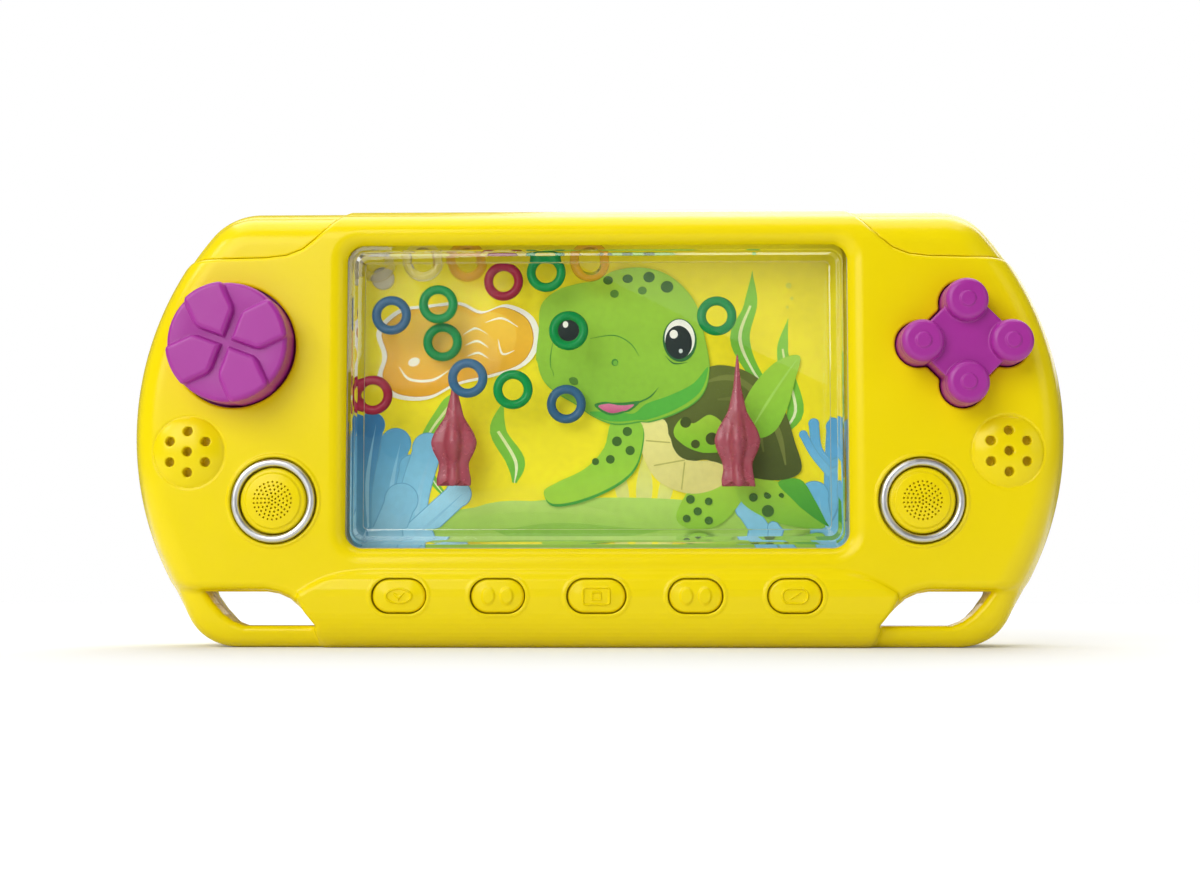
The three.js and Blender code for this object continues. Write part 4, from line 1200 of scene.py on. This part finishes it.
class TOY_OT_back_casing(bpy.types.Operator):
    """Moulds the back casing"""

    bl_idname = "toy.back_casing"
    bl_label = "Back Casing"

    def execute(self, context):
        low, high = (-84.6, 3.6, -0.6), (84.6, 15.6, 79.6)
        piece = moulded(
            "back_casing", back_casing, low, high, BACK_STEP, finish("casing"), share=0.3
        )
        fit_to_toy(piece, "casing", "casing", "back_shell")
        return {"FINISHED"}


class TOY_OT_pump_buttons(bpy.types.Operator):
    """Moulds the two pump buttons"""

    bl_idname = "toy.pump_buttons"
    bl_label = "Pump Buttons"

    def execute(self, context):
        for side, shape, low, high in [
            ("left", left_button, (-77, -15.2, 40.4), (-51.4, -4.4, 66)),
            ("right", right_button, (51, -15.2, 40), (77.4, -4.4, 66.4)),
        ]:
            name, body = f"{side}_pump_button", f"{side}_button"
            piece = moulded(name, shape, low, high, BUTTON_STEP, finish("button"), share=0.6)
            fit_to_toy(piece, body, "button", body)
        return {"FINISHED"}


class TOY_OT_thumb_buttons(bpy.types.Operator):
    """Turns the plated rings and moulds the perforated caps inside them"""

    bl_idname = "toy.thumb_buttons"
    bl_label = "Thumb Buttons"

    def execute(self, context):
        outline = [
            (6.1, -7.1), (6.1, -8.4), (6.16, -8.62), (6.3, -8.8), (6.5, -8.89), (6.73, -8.92),
            (6.96, -8.89)
        ]
        outline += [(7.15, -8.8), (7.29, -8.62), (7.35, -8.4), (7.35, -7.1), (6.1, -7.1)]
        for side, sign in SIDES.items():
            centre = (sign * THUMB[0], THUMB[1])
            ring = turned(f"plated_ring_{side}", centre, outline, finish("plated"), sides=96)
            fit_to_toy(sharpen(ring, 50), "casing", "plated", f"thumb_ring_{side}")
            cap = moulded(
                f"thumb_button_{side}",
                lambda x, y, z: thumb_cap(x - centre[0], y, z - centre[1]),
                (centre[0] - 7.3, -9.5, centre[1] - 7.3),
                (centre[0] + 7.3, -1.2, centre[1] + 7.3),
                CAP_STEP,
                finish("casing"),
                share=0.35,
            )
            fit_to_toy(cap, f"thumb_cap_{side}", "casing", f"thumb_cap_{side}")
        return {"FINISHED"}


class TOY_OT_keys(bpy.types.Operator):
    """Moulds the five oval keys with their raised icons"""

    bl_idname = "toy.keys"
    bl_label = "Keys"

    def execute(self, context):
        for number in range(1, 6):
            x = (number - 3) * KEY_PITCH
            piece = moulded(
                f"oval_key_{number}",
                lambda *at: oval_key(*at, number),
                (x - 6.2, -9.6, KEY_Z - 4),
                (x + 6.2, -4.5, KEY_Z + 4),
                CAP_STEP,
                finish("casing"),
                share=0.35,
            )
            fit_to_toy(piece, f"key_{number}", "casing", f"key_{number}")
        return {"FINISHED"}


class TOY_OT_tank(bpy.types.Operator):
    """Moulds the clear window cover and the clear tray behind it"""

    bl_idname = "toy.tank"
    bl_label = "Tank"

    def execute(self, context):
        # Each point is a growth of the window's outline and a depth, from the middle of the front
        # over the bevel and round the flange to the middle of the back.
        front = [
            (-3.0, -7.2), (-2.95, -7.22), (-2.9, -7.36), (-2.8, -7.4), (-1.75, -7.4),
            (-1.65, -7.36), (-1.1, -6.85)
        ]
        front += [
            (-1.0, -6.8), (-0.75, -6.75), (-0.65, -6.6), (-0.5, -6.1), (-0.35, -5.9), (-0.3, -5.75)
        ]
        flange = [(2.3, -5.7), (2.35, -5.6), (2.35, -4.6), (2.3, -4.5)]
        loops = [window_loop(grow, y) for grow, y in [*front, *flange]]
        cover = lofted("window_cover", loops, finish("clear"))
        cover.data.materials.append(finish("wetted"))
        cover.data.materials.append(finish("bevel"))
        for face in cover.data.polygons:
            leans = abs(face.normal.y) < 0.95 and face.center.y < -6.0 * MM
            face.material_index = 2 if leans else int(face.normal.y > 0.9)
        fit_to_toy(sharpen(cover, 25), "casing", "tank", "tank_cover")
        # The tray the same way, on the tank's outline: up its inside, over its rim, down its back.
        inner = [(0, 2.4), (0, -3.05)]
        outer = [(1.9, -3.1), (1.9, -1.95), (1.25, -1.9), (1.2, -1.8), (1.2, 3.5), (1.1, 3.6)]
        loops = [chamber_loop(grow, y) for grow, y in [*inner, *outer]]
        tray = lofted("clear_tray", loops, finish("wetted"))
        fit_to_toy(sharpen(tray, 30), "casing", "tank", "tank_body")
        return {"FINISHED"}


class TOY_OT_printed_card(bpy.types.Operator):
    """Prints the underwater scene on the card behind the tank"""

    bl_idname = "toy.printed_card"
    bl_label = "Printed Card"

    def execute(self, context):
        points, faces, inks = [], [], []
        for layer, (outline, low, high) in enumerate(artwork()):
            y = CARD_Y - INK_STEP * (layer + 1)
            start = len(points)
            heights = [z for _, z in outline]
            points += [(x, y, z) for x, z in outline]
            base, top = min(heights), max(heights)
            low, high = np.array(linear(low)), np.array(linear(high))
            inks += [low + (high - low) * (z - base) / max(top - base, 1e-6) for z in heights]
            flat = [Vector((x, z, 0)) for x, z in outline]
            for triangle in tessellate_polygon([flat]):
                a, b, c = (start + i for i in triangle)
                p, q, r = (np.array(points[i])[[0, 2]] for i in (a, b, c))
                across = (q[0] - p[0]) * (r[1] - p[1]) - (q[1] - p[1]) * (r[0] - p[0])
                faces.append((a, b, c) if across > 0 else (a, c, b))
        count = len(points)
        edge = [(x, z) for x, _, z in chamber_loop(-0.05, 0)]
        for y in (CARD_Y, CARD_Y + CARD_THICKNESS):
            points += [(x, y, z) for x, z in edge]
            inks += [np.array(linear("#EFE9D2"))] * len(edge)
        size = len(edge)
        for i in range(size):
            a, b = count + i, count + (i + 1) % size
            faces.append((a, b, b + size, a + size))
        back = count + size
        faces += [tuple(range(count, back)), tuple(reversed(range(back, back + size)))]
        card = make_object("printed_backdrop", points, faces, finish("card"))
        ink = card.data.color_attributes.new("ink", "FLOAT_COLOR", "POINT")
        ink.data.foreach_set("color", np.array(inks, np.float32).ravel())
        card.data.shade_flat()
        fit_to_toy(card, "casing", "card", "backdrop_card")
        return {"FINISHED"}


class TOY_OT_pegs(bpy.types.Operator):
    """Moulds the two tinted pegs that catch rings"""

    bl_idname = "toy.pegs"
    bl_label = "Pegs"

    def execute(self, context):
        pegs = {"left": (-25.8, 28.2, 22.0), "right": (25.2, 27.9, 24.2)}
        for side, (x, foot, height) in pegs.items():
            piece = moulded(
                f"tinted_peg_{side}",
                lambda px, py, pz: peg(px - x, py + 1.1, (pz - foot) / height),
                (x - 4.8, -4.2, foot - 0.6),
                (x + 4.8, 2.6, foot + height + 0.4),
                BUTTON_STEP,
                finish("peg"),
                share=0.6,
            )
            fit_to_toy(piece, "casing", "peg", f"peg_{side}")
        return {"FINISHED"}


class TOY_OT_rings(bpy.types.Operator):
    """Moulds the tossing rings, each where its CAD ring drifts"""

    bl_idname = "toy.rings"
    bl_label = "Tossing Rings"

    def execute(self, context):
        sizes = context.scene.toy_sizes
        wire = sizes.ring_wire / MM / 2
        radius = sizes.ring_outside / MM / 2 - wire
        for node in sorted(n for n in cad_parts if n.startswith("ring_")):
            low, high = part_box(node)
            x, y, z = (low + high) / 2 / MM
            colour, number = node.split("_")[1:]
            turns = np.linspace(0, 2 * math.pi, 25)
            section = [(radius - wire * math.cos(a), y - wire * math.sin(a)) for a in turns]
            plastic = finish(f"ring_{colour}")
            ring = turned(f"{colour}_ring_{number}", (x, z), section, plastic, sides=72)
            fit_to_toy(ring, node, f"ring_{colour}", node)
        return {"FINISHED"}


class TOY_OT_fastenings(bpy.types.Operator):
    """Makes the filler plug and the casing screws"""

    bl_idname = "toy.fastenings"
    bl_label = "Plug and Screws"

    def execute(self, context):
        x, z = FILLER
        plug = moulded(
            "soft_filler_plug",
            filler_plug,
            (x - 4.6, 3.0, z - 4.6),
            (x + 4.6, 15.2, z + 4.6),
            SMALL_STEP,
            finish("seal"),
            share=0.5,
        )
        fit_to_toy(plug, "filler_plug", "seal", "filler_plug")
        places = [(sign * x, z) for sign in SIDES.values() for x, z in SCREWS]
        for number, (node_x, node_z) in enumerate(places, 1):
            piece = moulded(
                f"casing_screw_{number}",
                lambda px, py, pz: screw(px - node_x, py, pz - node_z),
                (node_x - 2.8, -2.4, node_z - 2.8),
                (node_x + 2.8, 12.4, node_z + 2.8),
                SMALL_STEP,
                finish("steel"),
                share=0.5,
            )
            fit_to_toy(piece, "casing", "steel", f"screw_{number}")
        return {"FINISHED"}


class TOY_OT_works(bpy.types.Operator):
    """Makes the rubber bulbs, springs and key mat, and finishes what else is inside"""

    bl_idname = "toy.works"
    bl_label = "Inner Works"

    def execute(self, context):
        quarter = np.linspace(0, math.pi / 2, 10)
        bulb = [(8.4 * math.sin(t), 0.7 - 4.6 * math.cos(t)) for t in quarter]
        bulb += [(8.4, 3.1), (10.2, 3.1), (10.4, 3.3), (10.4, 4.3), (7.3, 4.3)]
        bulb += [(7.3 * math.sin(t), 0.9 - 3.7 * math.cos(t)) for t in quarter[::-1]]
        for side, sign in SIDES.items():
            centre = (sign * RIGHT_BUTTON[0], RIGHT_BUTTON[1])
            piece = sharpen(
                turned(f"rubber_bulb_{side}", centre, bulb, finish("rubber"), sides=48), 40
            )
            fit_to_toy(piece, "casing", "bulb", f"pump_bulb_{side}")
            flatten(piece)
            centre = (sign * THUMB[0], THUMB[1])
            spring = {"radius": 3.0, "wire": 0.35, "turns": 5, "front": -4.4, "back": 1.0}
            piece = coiled(f"thumb_coil_{side}", centre, material=finish("steel"), **spring)
            fit_to_toy(sharpen(piece, 40), "casing", "steel", f"thumb_spring_{side}")
            flatten(piece)
        strip = moulded(
            "key_mat_strip",
            lambda x, y, z: both(
                plate(x, z, (0, KEY_Z), (79, 7.6), 1), np.abs(y + 2.7) - 0.5, 0.15
            ),
            (-40.2, -3.6, KEY_Z - 4.4),
            (40.2, -1.8, KEY_Z + 4.4),
            STRIP_STEP,
            finish("rubber"),
            share=0.2,
        )
        fit_to_toy(strip, "casing", "mat", "key_mat")
        dome = [
            (0, -4.4), (1.3, -4.4), (1.6, -4.3), (1.9, -3.9), (2.3, -3.3), (2.6, -3.1), (0, -3.1)
        ]
        for number in range(1, 6):
            centre = ((number - 3) * KEY_PITCH, KEY_Z)
            piece = sharpen(
                turned(f"key_dome_{number}", centre, dome, finish("rubber"), sides=32), 40
            )
            fit_to_toy(piece, "casing", "mat")
            flatten(piece)
        inner = {
            "clear": ["pump_base_left", "pump_base_right", "jet_hose_left", "jet_hose_right"],
            "seal": ["tank_gasket"],
            "inside": ["key_backplate"],
        }
        for key, names in inner.items():
            for name in names:
                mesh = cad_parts[name].data
                mesh.materials.clear()
                mesh.materials.append(finish(key))
        return {"FINISHED"}


# Each lamp's place and size in metres, and its power in watts.
LAMPS = {
    "key": ((-0.5, -0.85, 0.54), 0.8, 7.8),
    "fill": ((0.95, -0.6, 0.35), 0.6, 1.1),
    "top": ((0.0, 0.25, 0.8), 1.0, 7.0),
    "edge": ((-0.75, -0.25, 0.6), 0.25, 1.2),
    "rear": ((0.3, 0.9, 0.55), 0.8, 3.5),
}
LAMP_AIM = (0, 0.1, 0.04)
FLOOR_SIZE, FLOOR_MIDDLE, FLOOR_GLOW = 1.0, (0, -0.12, 0), 0.12
WHITE, ROOM_LIGHT = (1.0, 1.0, 1.0, 1.0), 0.12
# The camera's place and aim, its sensor's width and its lens, all in millimetres.
CAMERA, CAMERA_AIM, SENSOR, LENS = (7, -321, 14), (0.36, 4, 37.3), 36.0, 53.625


def turn_to(direction):
    """The rotation that turns a lamp or camera to look in a direction."""
    return direction.to_track_quat("-Z", "Y").to_euler()


class TOY_OT_stage(bpy.types.Operator):
    """Sets the toy on a pale floor in soft studio light, with the camera in front"""

    bl_idname = "toy.stage"
    bl_label = "Stage"

    def execute(self, context):
        scene = context.scene
        bpy.ops.mesh.primitive_plane_add(size=FLOOR_SIZE, location=FLOOR_MIDDLE)
        floor = context.active_object
        floor.name = "floor"
        floor.data.materials.append(white_laminate())
        for name, (place, size, power) in LAMPS.items():
            data = bpy.data.lights.new(name, "AREA")
            data.shape, data.size, data.energy = "SQUARE", size, power
            lamp = bpy.data.objects.new(name, data)
            scene.collection.objects.link(lamp)
            lamp.location = place
            lamp.rotation_euler = turn_to(Vector(LAMP_AIM) - lamp.location)
        world = bpy.data.worlds.new("studio")
        world.use_nodes = True
        tree = world.node_tree
        tree.nodes.clear()
        rays = add(tree, "LightPath").outputs["Is Camera Ray"]
        room = add(tree, "Background", {"Color": WHITE, "Strength": ROOM_LIGHT})
        seen = add(tree, "Background", {"Color": WHITE, "Strength": 1.0})
        mix = add(tree, "MixShader", _0=rays, _1=room.outputs[0], _2=seen.outputs[0])
        add(tree, "OutputWorld", Surface=mix.outputs[0])
        scene.world = world
        scene.view_settings.view_transform = "Standard"
        data = bpy.data.cameras.new("camera")
        data.sensor_width, data.lens, data.clip_start = SENSOR, LENS, 0.01
        camera = bpy.data.objects.new("camera", data)
        scene.collection.objects.link(camera)
        camera.location = Vector(CAMERA) * MM
        camera.rotation_euler = turn_to(Vector(CAMERA_AIM) * MM - camera.location)
        scene.camera = camera
        return {"FINISHED"}


STEPS = [
    "stage", "front_casing", "back_casing", "pump_buttons", "thumb_buttons", "keys", "tank",
    "printed_card"
]
STEPS += ["pegs", "rings", "fastenings", "works"]


class TOY_PT_panel(bpy.types.Panel):
    """Sizes, colours and building steps of the toy"""

    bl_idname = "TOY_PT_panel"
    bl_label = "Ring-Toss Toy"
    bl_space_type = "VIEW_3D"
    bl_region_type = "UI"
    bl_category = "Ring Toss"

    def draw(self, context):
        for group in (context.scene.toy_sizes, context.scene.toy_colours):
            for key in group.__annotations__:
                self.layout.prop(group, key)
        for step in STEPS:
            self.layout.operator(f"toy.{step}")


CLASSES = [ToySizes, ToyColours, TOY_OT_front_casing, TOY_OT_back_casing, TOY_OT_pump_buttons]
CLASSES += [
    TOY_OT_thumb_buttons, TOY_OT_keys, TOY_OT_tank, TOY_OT_printed_card, TOY_OT_pegs, TOY_OT_rings
]
CLASSES += [TOY_OT_fastenings, TOY_OT_works, TOY_OT_stage, TOY_PT_panel]


def register():
    for item in CLASSES:
        bpy.utils.register_class(item)
    bpy.types.Scene.toy_sizes = bpy.props.PointerProperty(type=ToySizes)
    bpy.types.Scene.toy_colours = bpy.props.PointerProperty(type=ToyColours)


def unregister():
    del bpy.types.Scene.toy_sizes, bpy.types.Scene.toy_colours
    for item in reversed(CLASSES):
        bpy.utils.unregister_class(item)


def main():
    register()
    for step in STEPS:
        getattr(bpy.ops.toy, step)()


if __name__ == "__main__":
    main()
